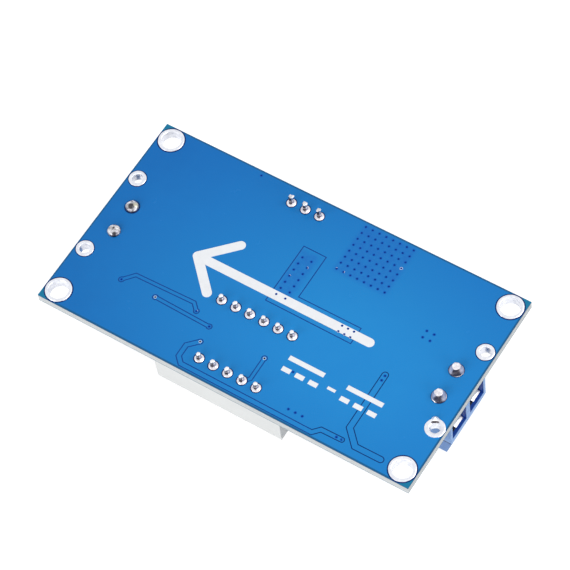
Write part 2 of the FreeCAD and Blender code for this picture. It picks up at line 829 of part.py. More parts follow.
def terminal(name, side, turn):
    """Build one two-pole terminal at an end of the board."""
    x, y = f"{side} * (board_length / 2 - terminal_inset)", "terminal_y"
    body = extruded("XZ_Plane", terminal_side(), "2 * terminal_pitch")
    step = block("terminal_depth", "terminal_side_step", "terminal_height - terminal_face_height", "0",
                 "terminal_pitch - terminal_side_step / 2", "terminal_face_height")
    housing = cut(body, step, *[terminal_chamber(pole) for pole in poles()])
    seat(housing, f"{name}_terminal_housing", x, y, turn)
    seat(group([terminal_contact(pole) for pole in poles()]), f"{name}_terminal_contacts", x, y, turn)
    for count, pole in enumerate(poles(), start=1):
        seat(terminal_leaf(pole), f"{name}_terminal_leaf_{count}", x, y, turn)
        seat(terminal_screw(pole), f"{name}_terminal_screw_{count}", x, y, turn)


# Power parts


def gull_lead(start, level, reach, foot, sheet_size):
    """List the outline of a lead that leaves a part at start, drops and lies flat on the board."""
    heel = f"{start} + {reach} - {foot}"
    end = f"{start} + {reach}"
    upper = f"{level} + {sheet_size}"
    return [(start, level), (f"{heel} - {sheet_size}", level), (heel, "0"), (end, "0"), (end, sheet_size),
            (f"{heel} + {sheet_size} * 0.6", sheet_size), (f"{heel} - {sheet_size} * 0.3", upper),
            (start, upper)]


def regulator():
    """Build the switching regulator: moulded body, soldered tab and five formed leads."""
    half = "regulator_length / 2"
    side = [(f"-{half}", "0.05"), (half, "0.05"), (half, "regulator_height - 1"),
            (f"{half} - regulator_draft", "regulator_height"),
            (f"3 * regulator_draft - {half}", "regulator_height"), (f"-{half}", "tab_sheet")]
    moulding = extruded("YZ_Plane", side, "regulator_width")
    tab_start = f"-{half} - tab_reach"
    tab = ("regulator_width - 0.4", "tab_length", "tab_sheet", "0", f"{tab_start} + tab_length / 2")
    seat(cut(moulding, block(*tab)), "regulator_body", "regulator_x", REGULATOR_Y)
    seat(block(*tab), "regulator_tab", "regulator_x", REGULATOR_Y)
    lead = gull_lead(half, "regulator_lead_level", "regulator_lead_reach", "regulator_lead_foot",
                     "regulator_lead_sheet")
    leads = [put(extruded("YZ_Plane", lead, "regulator_lead_width"), f"{k} * regulator_lead_pitch")
             for k in (-2, -1, 0, 1, 2)]
    seat(group(leads), "regulator_leads", "regulator_x", REGULATOR_Y)


def diode():
    """Build the diode: drafted body and two leads folded under it."""
    half = "diode_length / 2"
    middle = "diode_height / 2"
    side = [(f"diode_draft - {half}", "diode_lead_sheet"), (f"{half} - diode_draft", "diode_lead_sheet"),
            (half, middle), (f"{half} - diode_draft", "diode_height"),
            (f"diode_draft - {half}", "diode_height"), (f"-{half}", middle)]
    seat(extruded("YZ_Plane", side, "diode_width"), "diode_body", "diode_x", "diode_y")
    leads = []
    for way in (-1, 1):
        outer = f"({half} + diode_lead_reach)"
        lead = [(f"{way} * {half}", middle), (f"{way} * {outer}", middle), (f"{way} * {outer}", "0"),
                (f"{way} * ({outer} - diode_lead_foot)", "0"),
                (f"{way} * ({outer} - diode_lead_foot)", "diode_lead_sheet"),
                (f"{way} * ({outer} - diode_lead_sheet)", "diode_lead_sheet"),
                (f"{way} * ({outer} - diode_lead_sheet)", f"{middle} - diode_lead_sheet"),
                (f"{way} * {half}", f"{middle} - diode_lead_sheet")]
        leads.append(extruded("YZ_Plane", lead, "diode_lead_width"))
    seat(group(leads), "diode_leads", "diode_x", "diode_y")


def inductor():
    """Build the shielded inductor: base, clips, ferrite frame, drum and winding."""
    base_top = "inductor_clip_sheet + inductor_base"
    base = block("inductor_side", "inductor_side", "inductor_base", z="inductor_clip_sheet")
    seat(base, "inductor_base", "inductor_x", INDUCTOR_Y)
    clip_x = "(inductor_side - inductor_clip_length) / 2"
    clips = [block("inductor_clip_length", "inductor_clip_width", "inductor_clip_sheet", f"{i} * {clip_x}")
             for i in (-1, 1)]
    seat(group(clips), "inductor_clips", "inductor_x", INDUCTOR_Y)
    frame = block("inductor_side", "inductor_side", f"inductor_height - ({base_top})", z=base_top)
    bevelled = chamfer_edges(frame, "inductor_corner", is_upright)
    bore = rod("inductor_bore_radius", "inductor_height", z=base_top)
    seat(cut(bevelled, bore), "inductor_frame", "inductor_x", INDUCTOR_Y)
    top = "inductor_height - drum_drop"
    reel_low = f"{base_top} + drum_flange"
    reel_top = f"{top} - drum_flange"
    drum = turned([("0", base_top), ("drum_radius", base_top), ("drum_radius", reel_low),
                   ("drum_core_radius", reel_low), ("drum_core_radius", reel_top),
                   ("drum_radius", reel_top), ("drum_radius", top), ("0", top)])
    seat(drum, "inductor_drum", "inductor_x", INDUCTOR_Y)
    winding = turned([("drum_core_radius", reel_low), ("winding_radius", reel_low),
                      ("winding_radius", reel_top), ("drum_core_radius", reel_top)])
    seat(winding, "inductor_winding", "inductor_x", INDUCTOR_Y)


def capacitor(name):
    """Build one electrolytic capacitor: moulded base, crimped can and two flat leads."""
    x, y = f"{name}_capacitor_x", f"{name}_capacitor_y"
    plate = block("capacitor_base_side", "capacitor_base_side", "capacitor_base_height",
                  z="capacitor_lead_sheet")
    bevelled = chamfer_edges(plate, "capacitor_base_corner",
                             lambda edge: is_upright(edge) and edge.Vertexes[0].Point.x > 0)
    well = rod("can_radius", "capacitor_base_height", z="capacitor_seat")
    seat(cut(bevelled, well), f"{name}_capacitor_base", x, y)
    groove_low = "capacitor_seat + can_groove_height"
    top = "capacitor_seat + can_height"
    can = turned([("0", "capacitor_seat"), ("can_radius", "capacitor_seat"), ("can_radius", groove_low),
                  ("can_radius - can_groove_depth", f"{groove_low} + can_groove_width / 2"),
                  ("can_radius", f"{groove_low} + can_groove_width"), ("can_radius", f"{top} - can_edge"),
                  ("can_radius - can_edge", top), ("0", top)])
    seat(can, f"{name}_capacitor_can", x, y)
    length = "(capacitor_lead_outer - capacitor_lead_inner)"
    leads = [block(length, "capacitor_lead_width", "capacitor_lead_sheet",
                   f"{i} * (capacitor_lead_outer + capacitor_lead_inner) / 2") for i in (-1, 1)]
    seat(group(leads), f"{name}_capacitor_leads", x, y)


# Small parts


def controller():
    """Build the display's controller chip: drafted body and two rows of formed leads."""
    half = "controller_width / 2"
    bottom = "0.1"
    side = [(f"controller_draft - {half}", bottom), (f"{half} - controller_draft", bottom),
            (half, "controller_lead_level"), (f"{half} - controller_draft", "controller_height"),
            (f"controller_draft - {half}", "controller_height"), (f"-{half}", "controller_lead_level")]
    seat(extruded("YZ_Plane", side, "controller_length"), "controller_chip", "controller_x", CONTROLLER_Y)
    near = gull_lead(half, "controller_lead_level", "controller_lead_reach", "controller_lead_foot",
                     "controller_lead_sheet")
    leads = []
    for way in (-1, 1):
        points = [(f"{way} * ({along})", height) for along, height in near]
        for k in range(10):
            lead = extruded("YZ_Plane", points, "controller_lead_width")
            leads.append(put(lead, f"{k - 4.5} * controller_lead_pitch"))
    seat(group(leads), "controller_leads", "controller_x", CONTROLLER_Y)


def supply_regulator():
    """Build the small supply regulator with its three leads and tab."""
    seat(block("supply_length", "supply_width", "supply_height"), "supply_regulator", "supply_x", "supply_y")
    reach_y = "(supply_width + supply_lead_reach) / 2"
    leads = [block("supply_lead_width", "supply_lead_reach", "supply_lead_sheet",
                   f"{k} * supply_lead_pitch", reach_y) for k in (-1, 0, 1)]
    leads.append(block("supply_tab_width", "supply_lead_reach", "supply_lead_sheet", "0", f"-{reach_y}"))
    seat(group(leads), "supply_regulator_leads", "supply_x", "supply_y")


def button(count, way):
    """Build one push button: moulded base, sheet cover and plunger."""
    x = f"button_x + {way} * button_spacing / 2"
    base = block("button_length", "button_width", "button_height")
    well = rod("button_well_radius", "button_well_depth", z="button_height - button_well_depth")
    seat(cut(base, well), f"button_{count}_base", x, "button_y", 90)
    sheet_size = "button_cover_sheet"
    skirt_low = "button_height - button_cover_skirt"
    outer = block("button_cover_length", f"button_width + 2 * {sheet_size}",
                  f"button_cover_skirt + {sheet_size}", z=skirt_low)
    inner = block("button_length", "button_width", "button_cover_skirt", z=skirt_low)
    hole = rod("plunger_radius + running_gap", sheet_size, z="button_height")
    seat(cut(outer, inner, hole), f"button_{count}_cover", x, "button_y", 90)
    flange_low = "(button_height - plunger_flange_height)"
    top = f"(button_height + {sheet_size} + plunger_rise)"
    plunger = turned([("0", flange_low), ("plunger_flange_radius", flange_low),
                      ("plunger_flange_radius", "button_height"), ("plunger_radius", "button_height"),
                      ("plunger_radius", f"{top} - plunger_edge"), ("plunger_radius - plunger_edge", top),
                      ("0", top)])
    seat(plunger, f"button_{count}_plunger", x, "button_y", 90)


def button_leads():
    """Build the flat leads at both ends of each button."""
    leads = []
    for way in (-1, 1):
        for end in (-1, 1):
            leads.append(block("button_lead_width", "button_lead_reach", "button_lead_sheet",
                               f"button_x + {way} * button_spacing / 2",
                               f"button_y + {end} * (button_length + button_lead_reach) / 2",
                               "-board_thickness - button_lead_sheet"))
    name_node(group(leads), "button_leads")


def chip(x, y, across, height):
    """Make one chip part's body and its two end caps, on the component face."""
    middle, cap = "chip_length - 2 * chip_cap_length", "chip_cap_length"
    shift = "(chip_length - chip_cap_length) / 2"
    low = f"-board_thickness - {height}"
    if across:
        body = block("chip_width", middle, height, x, y, low)
        caps = [block("chip_width", cap, height, x, f"{y} + {i} * {shift}", low) for i in (-1, 1)]
    else:
        body = block(middle, "chip_width", height, x, y, low)
        caps = [block(cap, "chip_width", height, f"{x} + {i} * {shift}", y, low) for i in (-1, 1)]
    return body, caps


def chip_parts():
    """Build the chip resistors, the chip capacitors, the indicator and all their end caps."""
    caps = []
    for label, places, height in (("chip_resistors", RESISTOR_PLACES, "chip_height"),
                                  ("chip_capacitors", CAPACITOR_PLACES, "chip_capacitor_height"),
                                  ("indicator_led", [LED_PLACE], "chip_capacitor_height")):
        bodies = []
        for x, y, across in places:
            body, ends = chip(x, y, across, height)
            bodies.append(body)
            caps += ends
        name_node(group(bodies) if len(bodies) > 1 else bodies[0], label)
    name_node(group(caps), "chip_end_caps")


circuit_board()
plating()
solder()
display()
trimmer()
terminal("input", 1, 0)
terminal("output", -1, 180)
regulator()
diode()
inductor()
capacitor("input")
capacitor("output")
controller()
supply_regulator()
button(1, -1)
button(2, 1)
button_leads()
chip_parts()
doc.recompute()

for item in doc.Objects:
    if "Invalid" in item.State or "Error" in item.State:
        raise RuntimeError(f"{item.Label} failed: {item.State}")
for node in NODES:
    if node.Shape.isNull() or not node.Shape.isValid():
        raise RuntimeError(f"{node.Label} has no valid shape")

os.makedirs("parts", exist_ok=True)
for node in NODES:
    node.Shape.exportStep(f"parts/{node.Label}.step")
    print(node.Label, len(node.Shape.Solids), round(node.Shape.Volume, 3))
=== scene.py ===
"""Looks of the adjustable step-down converter module, lying solder side up.

Coordinates in the tables are millimetres in the part's own frame: X towards the input terminal,
Z out of the solder face, whose plane is Z = 0.
"""
import json
import math
import random

import bmesh
import bpy
from mathutils import Matrix, Vector, noise


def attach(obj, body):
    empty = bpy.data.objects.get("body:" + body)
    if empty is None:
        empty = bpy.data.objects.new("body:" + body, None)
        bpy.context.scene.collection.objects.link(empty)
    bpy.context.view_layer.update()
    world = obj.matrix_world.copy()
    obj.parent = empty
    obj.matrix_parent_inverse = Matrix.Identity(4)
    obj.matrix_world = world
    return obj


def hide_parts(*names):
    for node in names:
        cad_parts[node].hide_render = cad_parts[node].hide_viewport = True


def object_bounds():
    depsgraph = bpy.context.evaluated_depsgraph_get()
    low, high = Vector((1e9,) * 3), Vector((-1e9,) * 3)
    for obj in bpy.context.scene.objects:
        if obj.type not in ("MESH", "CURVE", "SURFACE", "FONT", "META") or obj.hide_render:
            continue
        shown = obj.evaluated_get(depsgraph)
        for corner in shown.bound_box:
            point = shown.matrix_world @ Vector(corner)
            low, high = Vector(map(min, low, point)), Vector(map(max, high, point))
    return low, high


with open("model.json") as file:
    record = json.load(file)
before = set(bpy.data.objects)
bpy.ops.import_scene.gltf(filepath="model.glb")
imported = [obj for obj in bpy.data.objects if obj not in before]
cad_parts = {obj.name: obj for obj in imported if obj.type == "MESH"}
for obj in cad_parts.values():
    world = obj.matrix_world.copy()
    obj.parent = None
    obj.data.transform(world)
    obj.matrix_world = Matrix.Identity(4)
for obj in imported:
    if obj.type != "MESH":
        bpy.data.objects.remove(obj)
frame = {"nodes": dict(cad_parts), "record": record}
cad_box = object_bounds()
nodes = frame["nodes"]
scene = bpy.context.scene
MM = 0.001
THICK = 1.6
GRID = 2.54
TERMINAL_Y = -0.18
HOLE_X, HOLE_Y = 30.68, 15.68
CORNER_HOLE, CORNER_RING = 1.6, 2.12
WIRE_X, WIRE_Y, WIRE_ROW = 31.35, 7.33, -0.22
WIRE_HOLE, WIRE_RING, WIDE_WIRE_RING = 0.85, 1.42, 1.6
RIM_RISE = 0.12
# Levels of the flat layers over the solder face, kept apart so that no two share a plane
COVER_LEVEL, SENSE_COVER_LEVEL, VIA_DIP_SHADE_LEVEL, MOAT_LEVEL, ARC_LEVEL = 0.0015, 0.0028, 0.003, 0.006, 0.012
# In metres, for the materials: where the copper ends, and just inside the board's edge
COPPER_X, COPPER_Y, COPPER_CORNER = 0.03275, 0.01772, 0.0494
EDGE_X, EDGE_Y = 0.03298, 0.01798


# Materials

def srgb(red, green, blue):
    """Turn an 8-bit screen colour into a linear one."""
    out = []
    for value in (red, green, blue):
        value /= 255
        out.append(value / 12.92 if value <= 0.04045 else ((value + 0.055) / 1.055) ** 2.4)
    return (*out, 1.0)


class Shader:
    """A material with its nodes, built step by step."""

    def __init__(self, name):
        self.material = bpy.data.materials.new(name)
        self.material.use_nodes = True
        self.tree = self.material.node_tree
        self.nodes = self.tree.nodes
        self.main = self.nodes["Principled BSDF"]
        self.place = self.nodes.new("ShaderNodeTexCoord").outputs["Object"]

    def link(self, source, target):
        self.tree.links.new(source, target)

    def wire(self, socket, value):
        if isinstance(value, (int, float, tuple)):
            socket.default_value = value
        else:
            self.link(value, socket)

    def math(self, kind, first, second=0.0):
        node = self.nodes.new("ShaderNodeMath")
        node.operation = kind
        self.wire(node.inputs[0], first)
        self.wire(node.inputs[1], second)
        return node.outputs[0]

    def distance(self, aside, ahead, weight=1.0):
        """Return the length of two offsets, the second one weighted."""
        square = self.math("MULTIPLY", ahead, ahead)
        if weight != 1.0:
            square = self.math("MULTIPLY", square, weight)
        return self.math("SQRT", self.math("ADD", self.math("MULTIPLY", aside, aside), square))

    def ramp(self, value, low, high, to_low=0.0, to_high=1.0, smooth=False):
        node = self.nodes.new("ShaderNodeMapRange")
        node.interpolation_type = "SMOOTHSTEP" if smooth else "LINEAR"
        self.wire(node.inputs["Value"], value)
        numbers = {"From Min": low, "From Max": high, "To Min": to_low, "To Max": to_high}
        for socket, number in numbers.items():
            node.inputs[socket].default_value = number
        return node.outputs["Result"]

    def noise(self, scale, detail=3.0, rough=0.5, stretch=None):
        node = self.nodes.new("ShaderNodeTexNoise")
        node.inputs["Scale"].default_value = scale
        node.inputs["Detail"].default_value = detail
        node.inputs["Roughness"].default_value = rough
        source = self.place
        if stretch:
            mapping = self.nodes.new("ShaderNodeMapping")
            mapping.inputs["Scale"].default_value = stretch
            self.link(source, mapping.inputs["Vector"])
            source = mapping.outputs["Vector"]
        self.link(source, node.inputs["Vector"])
        return node.outputs["Fac"]

    def mix(self, amount, first, second):
        node = self.nodes.new("ShaderNodeMix")
        node.data_type = "RGBA"
        self.wire(node.inputs["Factor"], amount)
        self.wire(node.inputs["A"], first)
        self.wire(node.inputs["B"], second)
        return node.outputs["Result"]

    def axes(self):
        node = self.nodes.new("ShaderNodeSeparateXYZ")
        self.link(self.place, node.inputs[0])
        return node.outputs

    def normal_axes(self):
        geometry = self.nodes.new("ShaderNodeNewGeometry")
        node = self.nodes.new("ShaderNodeSeparateXYZ")
        self.link(geometry.outputs["True Normal"], node.inputs[0])
        return node.outputs

    def patch(self, centre, half, soft):
        """Return 1 inside a rectangle of the board, in metres, falling off at its soft edge."""
        x, y = self.axes()[:2]
        inside = []
        for axis, middle, reach in ((x, centre[0], half[0]), (y, centre[1], half[1])):
            away = self.math("ABSOLUTE", self.math("SUBTRACT", axis, middle))
            inside.append(self.ramp(away, reach, reach + soft, 1.0, 0.0, smooth=True))
        return self.math("MULTIPLY", *inside)

    def spot(self, place, radius, soft):
        """Return 1 within a radius of a place on the board, in metres, falling off at its soft edge."""
        x, y = self.axes()[:2]
        away = self.distance(self.math("SUBTRACT", x, place[0]), self.math("SUBTRACT", y, place[1]))
        return self.ramp(away, radius, radius + soft, 1.0, 0.0, smooth=True)

    def front(self, right=0.49, ahead=0.87):
        """Return how far a face leans towards the near long edge, the side painted dark as a reflection."""
        across, along = self.normal_axes()[:2]
        return self.math("SUBTRACT", self.math("MULTIPLY", across, right),
                         self.math("MULTIPLY", along, ahead))

    def bump(self, height, distance, strength=1.0, before=None):
        node = self.nodes.new("ShaderNodeBump")
        node.inputs["Distance"].default_value = distance
        node.inputs["Strength"].default_value = strength
        self.link(height, node.inputs["Height"])
        if before:
            self.link(before, node.inputs["Normal"])
        return node.outputs["Normal"]

    def set(self, **values):
        for name, value in values.items():
            self.wire(self.main.inputs[name.replace("_", " ")], value)
        return self


def shade(colour, factor):
    """Scale a linear colour."""
    return (*(min(1.0, channel * factor) for channel in colour[:3]), 1.0)


def plain(name, colour, rough=0.45, metallic=0.0, vary=0.12, scale=900.0, grain=2600.0, relief=0.00001,
          strength=0.4, stretch=None):
    """Make a finish with uneven colour, uneven gloss and a fine relief."""
    shader = Shader(name)
    patches = shader.noise(scale, 4.0, 0.6, stretch=stretch)
    spread = shader.ramp(patches, 0.3, 0.7, 0.0, 1.0)
    shader.set(Base_Color=shader.mix(spread, shade(colour, 1 - vary), shade(colour, 1 + vary)),
               Metallic=metallic)
    fine = shader.noise(grain, 3.0, 0.6, stretch=stretch)
    shader.set(Roughness=shader.ramp(fine, 0.25, 0.75, max(0.02, rough - 0.08), min(1.0, rough + 0.08)))
    shader.set(Normal=shader.bump(fine, relief, strength))
    return shader


def solder_mask():
    """Board finish: mask over copper, over bare laminate at the rim and in the moats, and the cut edge, with
    a broad pool of painted light and painted shade in the moats and vias.
    """
    shader = Shader("solder_mask")
    x, y, z = shader.axes()
    up = shader.normal_axes()[2]
    broad = shader.noise(45.0, 3.0, 0.55)
    cloud = shader.noise(260.0, 4.0, 0.6)
    # Painted light: a broad pool on the mask over copper, palest between the middle and the input terminal,
    # darker further away
    away = shader.distance(shader.math("SUBTRACT", x, 0.014), shader.math("ADD", y, 0.004), weight=2.2)
    copper = shader.mix(shader.ramp(away, 0.01, 0.05), srgb(27, 130, 197), srgb(8, 98, 170))
    copper = shader.mix(shader.ramp(broad, 0.3, 0.7, 0.0, 0.18), copper, srgb(14, 112, 196))
    copper = shader.mix(shader.ramp(cloud, 0.35, 0.65, 0.0, 0.14), copper, srgb(24, 118, 190))
    # Darker, mottled mask over the two blocks of crowded vias
    crowd = shader.math("MAXIMUM", shader.patch((0.00868, 0.01279), (0.0041, 0.0041), 0.0012),
                        shader.patch((-0.00039, 0.0046), (0.0009, 0.0036), 0.0012))
    mottle = shader.ramp(shader.noise(900.0, 3.0, 0.6), 0.3, 0.7, 0.2, 0.6)
    copper = shader.mix(shader.math("MULTIPLY", crowd, mottle), copper, srgb(22, 92, 176))
    # Rim of bare laminate round the copper, teal in the cut corners
    from_x, from_y = shader.math("ABSOLUTE", x), shader.math("ABSOLUTE", y)
    past = shader.math("MAXIMUM", shader.math("SUBTRACT", from_x, COPPER_X),
                       shader.math("SUBTRACT", from_y, COPPER_Y))
    past_corner = shader.math("SUBTRACT", shader.math("ADD", from_x, from_y), COPPER_CORNER)
    face = shader.mix(shader.ramp(past, -0.00004, 0.00004), copper, srgb(16, 88, 136))
    face = shader.mix(shader.ramp(past_corner, -0.00004, 0.00004), face, srgb(14, 112, 150))
    # Moats between copper areas, and the walls of the vias, darker: the moats partly from the bare laminate
    # under the mask, the rest painted shade of the sunk faces
    sunk = shader.ramp(z, -0.000012, -0.00003)
    above = shader.math("GREATER_THAN", z, -0.0015)
    moat = shader.math("MULTIPLY", sunk, above)
    face = shader.mix(moat, face, srgb(8, 64, 142))
    # Cut edge: glass cloth in resin
    outer = shader.math("MAXIMUM", shader.math("GREATER_THAN", from_x, EDGE_X),
                        shader.math("GREATER_THAN", from_y, EDGE_Y))
    side = shader.math("LESS_THAN", shader.math("ABSOLUTE", up), 0.5)
    cut_edge = shader.math("MULTIPLY", outer, side)
    layers = shader.noise(1.0, 3.0, 0.6, stretch=(900.0, 900.0, 9000.0))
    speckle = shader.noise(5200.0, 2.0, 0.7)
    edge = shader.mix(shader.ramp(layers, 0.3, 0.7), srgb(182, 186, 187), srgb(206, 210, 212))
    edge = shader.mix(shader.ramp(speckle, 0.6, 0.75, 0.0, 0.6), edge, srgb(146, 148, 146))
    near_face = shader.ramp(z, -0.00024, -0.0001)
    near_back = shader.ramp(z, -0.00144, -0.00154)
    edge = shader.mix(near_face, edge, srgb(18, 74, 112))
    edge = shader.mix(near_back, edge, srgb(84, 120, 140))
    shader.set(Base_Color=shader.mix(cut_edge, face, edge))
    gloss = shader.ramp(cloud, 0.3, 0.7, 0.2, 0.28)
    rough = shader.nodes.new("ShaderNodeMix")
    shader.link(cut_edge, rough.inputs["Factor"])
    shader.link(gloss, rough.inputs["A"])
    rough.inputs["B"].default_value = 0.75
    shader.set(Roughness=rough.outputs["Result"], Specular_IOR_Level=0.18)
    # Weave of the glass cloth, faint under the mask, and a rough sawn edge
    weave = shader.math("ADD", shader.math("SINE", shader.math("MULTIPLY", x, 9000.0)),
                        shader.math("SINE", shader.math("MULTIPLY", y, 9000.0)))
    first = shader.bump(weave, 0.000002, 0.05)
    shader.set(Normal=shader.bump(shader.math("ADD", cloud, shader.math("MULTIPLY", layers, cut_edge)),
                                  0.00001, 0.25, first))
    return shader.material


def bright_solder(name, low, high, dark, light):
    """Reflowed tin: bright, wavy, with duller patches."""
    shader = Shader(name)
    patches = shader.noise(1500.0, 4.0, 0.6)
    ripples = shader.noise(2300.0, 2.0, 0.5)
    shader.set(Base_Color=shader.mix(shader.ramp(patches, 0.3, 0.65), dark, light), Metallic=1.0)
    shader.set(Roughness=shader.ramp(patches, 0.3, 0.7, high, low))
    shader.set(Normal=shader.bump(ripples, 0.00006, 0.35))
    return shader.material


def joint_solder(name, flank, dark, low, high, metallic, right=0.49, ahead=0.87):
    """Solder of a joint, with painted light and shade: bright where it faces up, greyer on steep faces, and a
    painted dark brown reflection on the steep flank at the front.
    """
    shader = Shader(name)
    patches = shader.noise(2600.0, 4.0, 0.6)
    up = shader.normal_axes()[2]
    metal = shader.mix(shader.ramp(patches, 0.3, 0.7), srgb(206, 200, 208), srgb(246, 245, 250))
    # Painted shade: steep faces greyer than the tops
    metal = shader.mix(shader.ramp(up, 0.75, 0.3, 0.0, 0.7), metal, flank)
    # Painted dark reflection on faces towards the near long edge
    shadow = shader.ramp(shader.front(right, ahead), low, high, 0.0, 0.94, smooth=True)
    metal = shader.mix(shadow, metal, dark)
    shader.set(Base_Color=metal, Metallic=metallic)
    shader.set(Roughness=shader.ramp(patches, 0.3, 0.7, 0.36, 0.2))
    shader.set(Normal=shader.bump(shader.noise(3000.0, 2.0, 0.5), 0.00004, 0.3))
    return shader.material


DARK_SPOT = srgb(44, 42, 48)
# Place in millimetres, radius and colour of each spot; the small white one is a painted highlight
OUTPUT_SPOTS_AND_GLINT = [((-29.1, 2.1), 0.36, DARK_SPOT), ((-28.55, 2.7), 0.3, srgb(196, 192, 174)),
                 ((-29.85, 2.55), 0.12, srgb(244, 244, 248)), ((-28.62, -3.46), 0.24, DARK_SPOT),
                 ((-29.25, -2.55), 0.08, DARK_SPOT)]


def dull_solder():
    """Solder of the output joints: grey domes with dark spots, a pale patch, one painted highlight and a
    painted dark reflection at the front.
    """
    shader = Shader("dull_solder")
    patches = shader.noise(1500.0, 4.0, 0.65)
    metal = shader.mix(shader.ramp(patches, 0.38, 0.6), srgb(128, 126, 132), srgb(226, 226, 230))
    for (x, y), radius, tint in OUTPUT_SPOTS_AND_GLINT:
        spot = shader.spot((x * MM, y * MM), radius * MM, 0.25 * MM)
        metal = shader.mix(shader.math("MULTIPLY", spot, 0.9), metal, tint)
    # Painted dark reflection on faces towards the near long edge
    shadow = shader.ramp(shader.front(), 0.45, 0.85, 0.0, 0.7, smooth=True)
    metal = shader.mix(shadow, metal, srgb(60, 56, 66))
    shader.set(Base_Color=metal, Metallic=1.0)
    shader.set(Roughness=shader.ramp(patches, 0.3, 0.7, 0.4, 0.24))
    shader.set(Normal=shader.bump(patches, 0.00006, 0.4))
    return shader.material


def pin_tail():
    """Tinned pin: bright on its end, with a painted dark brown reflection on the sides that stand out of the
    solder and face the near long edge.
    """
    shader = Shader("pin_tail")
    up = shader.normal_axes()[2]
    patches = shader.noise(1600.0, 4.0, 0.6)
    metal = shader.mix(shader.ramp(patches, 0.3, 0.7), srgb(188, 186, 190), srgb(232, 231, 236))
    # Painted dark reflection on the steep sides facing the near long edge
    side = shader.math("MULTIPLY", shader.ramp(up, 0.6, 0.3), shader.ramp(shader.front(0.1, 0.99), 0.0, 0.6))
    front_shade_colour = shader.mix(shader.ramp(patches, 0.35, 0.65), srgb(46, 38, 46), srgb(84, 74, 82))
    shader.set(Base_Color=shader.mix(side, metal, front_shade_colour), Metallic=0.7)
    shader.set(Roughness=shader.ramp(patches, 0.3, 0.7, 0.36, 0.24))
    shader.set(Normal=shader.bump(shader.noise(5200.0, 3.0, 0.6), 0.00001, 0.3))
    return shader.material


MASK = solder_mask()
TIN = bright_solder("bright_solder", 0.16, 0.34, srgb(170, 172, 176), srgb(236, 237, 240))
# Dark colours for the painted shadow at the foot of the solder spike
HOLLOW_SHADE = bright_solder("painted_hollow_shade", 0.4, 0.5, srgb(70, 62, 66), srgb(112, 104, 110))
RING = bright_solder("ring_tin", 0.26, 0.4, srgb(216, 218, 228), srgb(242, 244, 250))
JOINT = joint_solder("joint_solder", flank=srgb(186, 172, 186), dark=srgb(58, 50, 52), low=0.35, high=0.75,
                     metallic=0.65, right=0.1, ahead=0.99)
CONE = joint_solder("cone_solder", flank=srgb(156, 150, 170), dark=srgb(40, 32, 44), low=0.45, high=0.86,
                    metallic=0.4)
DULL = dull_solder()
TAIL = pin_tail()
PIN = plain("tinned_pin", srgb(206, 204, 206), rough=0.28, metallic=1.0, vary=0.15, scale=1600.0,
            grain=5200.0, strength=0.3).material
SILK = plain("white_ink", srgb(224, 226, 230), rough=0.55, vary=0.03, scale=700.0, grain=4200.0,
             strength=0.35).material
# Dark moats round pads and along tracks: bare laminate under the mask, and partly painted shade of the groove
MOAT_AND_SHADE = plain("laminate_moat_and_shade", srgb(10, 40, 100), rough=0.35, vary=0.15, scale=1800.0, grain=5200.0).set(
    Specular_IOR_Level=0.08).material
VIA = plain("tented_via", srgb(12, 48, 132), rough=0.3, scale=3000.0, grain=5200.0).set(
    Specular_IOR_Level=0.05).material
# Painted shade of the dip in the mask round each via
VIA_DIP_SHADE = plain("via_dip_shade", srgb(20, 94, 178), rough=0.3, vary=0.08, scale=3000.0, grain=5200.0).set(
    Specular_IOR_Level=0.1).material
DISPLAY = plain("display_plastic", srgb(212, 214, 214), rough=0.5, vary=0.03, scale=160.0, relief=0.00002,
                strength=0.35).material
LENS = plain("display_lens", srgb(226, 214, 208), rough=0.3, vary=0.04, scale=500.0, grain=3000.0).material
RESIN = plain("cast_resin", srgb(206, 204, 188), rough=0.25, vary=0.06, scale=420.0, grain=1500.0,
              relief=0.00004).material
TRIMMER = plain("trimmer_plastic", srgb(34, 84, 170), rough=0.38, vary=0.08, scale=320.0, grain=2400.0,
                relief=0.00002, strength=0.3).material
BRASS = plain("turned_brass", srgb(214, 178, 104), rough=0.28, metallic=1.0, vary=0.1, scale=1400.0,
              grain=5200.0).material
VIA_RING = plain("via_rim", srgb(190, 206, 232), rough=0.4, metallic=0.2, vary=0.1, scale=1100.0,
                 grain=4200.0).material
LEAF = plain("tinned_leaf", srgb(240, 240, 242), rough=0.36, metallic=0.45, vary=0.05, scale=1100.0,
             grain=4200.0).material
STEEL = plain("plated_steel", srgb(206, 208, 212), rough=0.26, metallic=1.0, vary=0.1, scale=1100.0,
              grain=4200.0).material
# Also the black of the dark pieces painted as shade in the terminal windows and the open vias
BLACK_EPOXY_AND_SHADE = plain("moulded_epoxy_and_shade", srgb(34, 34, 36), rough=0.5, vary=0.15, grain=4800.0, relief=0.00002,
              strength=0.5).material
FERRITE = plain("pressed_ferrite", srgb(62, 62, 66), rough=0.62, vary=0.18, scale=1600.0, grain=3600.0,
                relief=0.00004, strength=0.6).material
BLACK = plain("button_plastic", srgb(30, 30, 32), rough=0.42, grain=3800.0, relief=0.00002,
              strength=0.3).material
CERAMIC_DARK = plain("glazed_ceramic", srgb(28, 28, 34), rough=0.3, vary=0.15, scale=1400.0,
                     grain=4200.0).material
CERAMIC_TAN = plain("sintered_ceramic", srgb(176, 140, 104), rough=0.5, scale=1600.0, grain=4800.0).material
LED = plain("clear_resin", srgb(232, 222, 196), rough=0.2, vary=0.05, grain=4200.0).material
CAN = plain("satin_aluminium", srgb(208, 208, 212), rough=0.3, metallic=1.0, vary=0.06, scale=500.0,
            grain=4200.0, strength=0.3, stretch=(1.0, 1.0, 14.0)).material


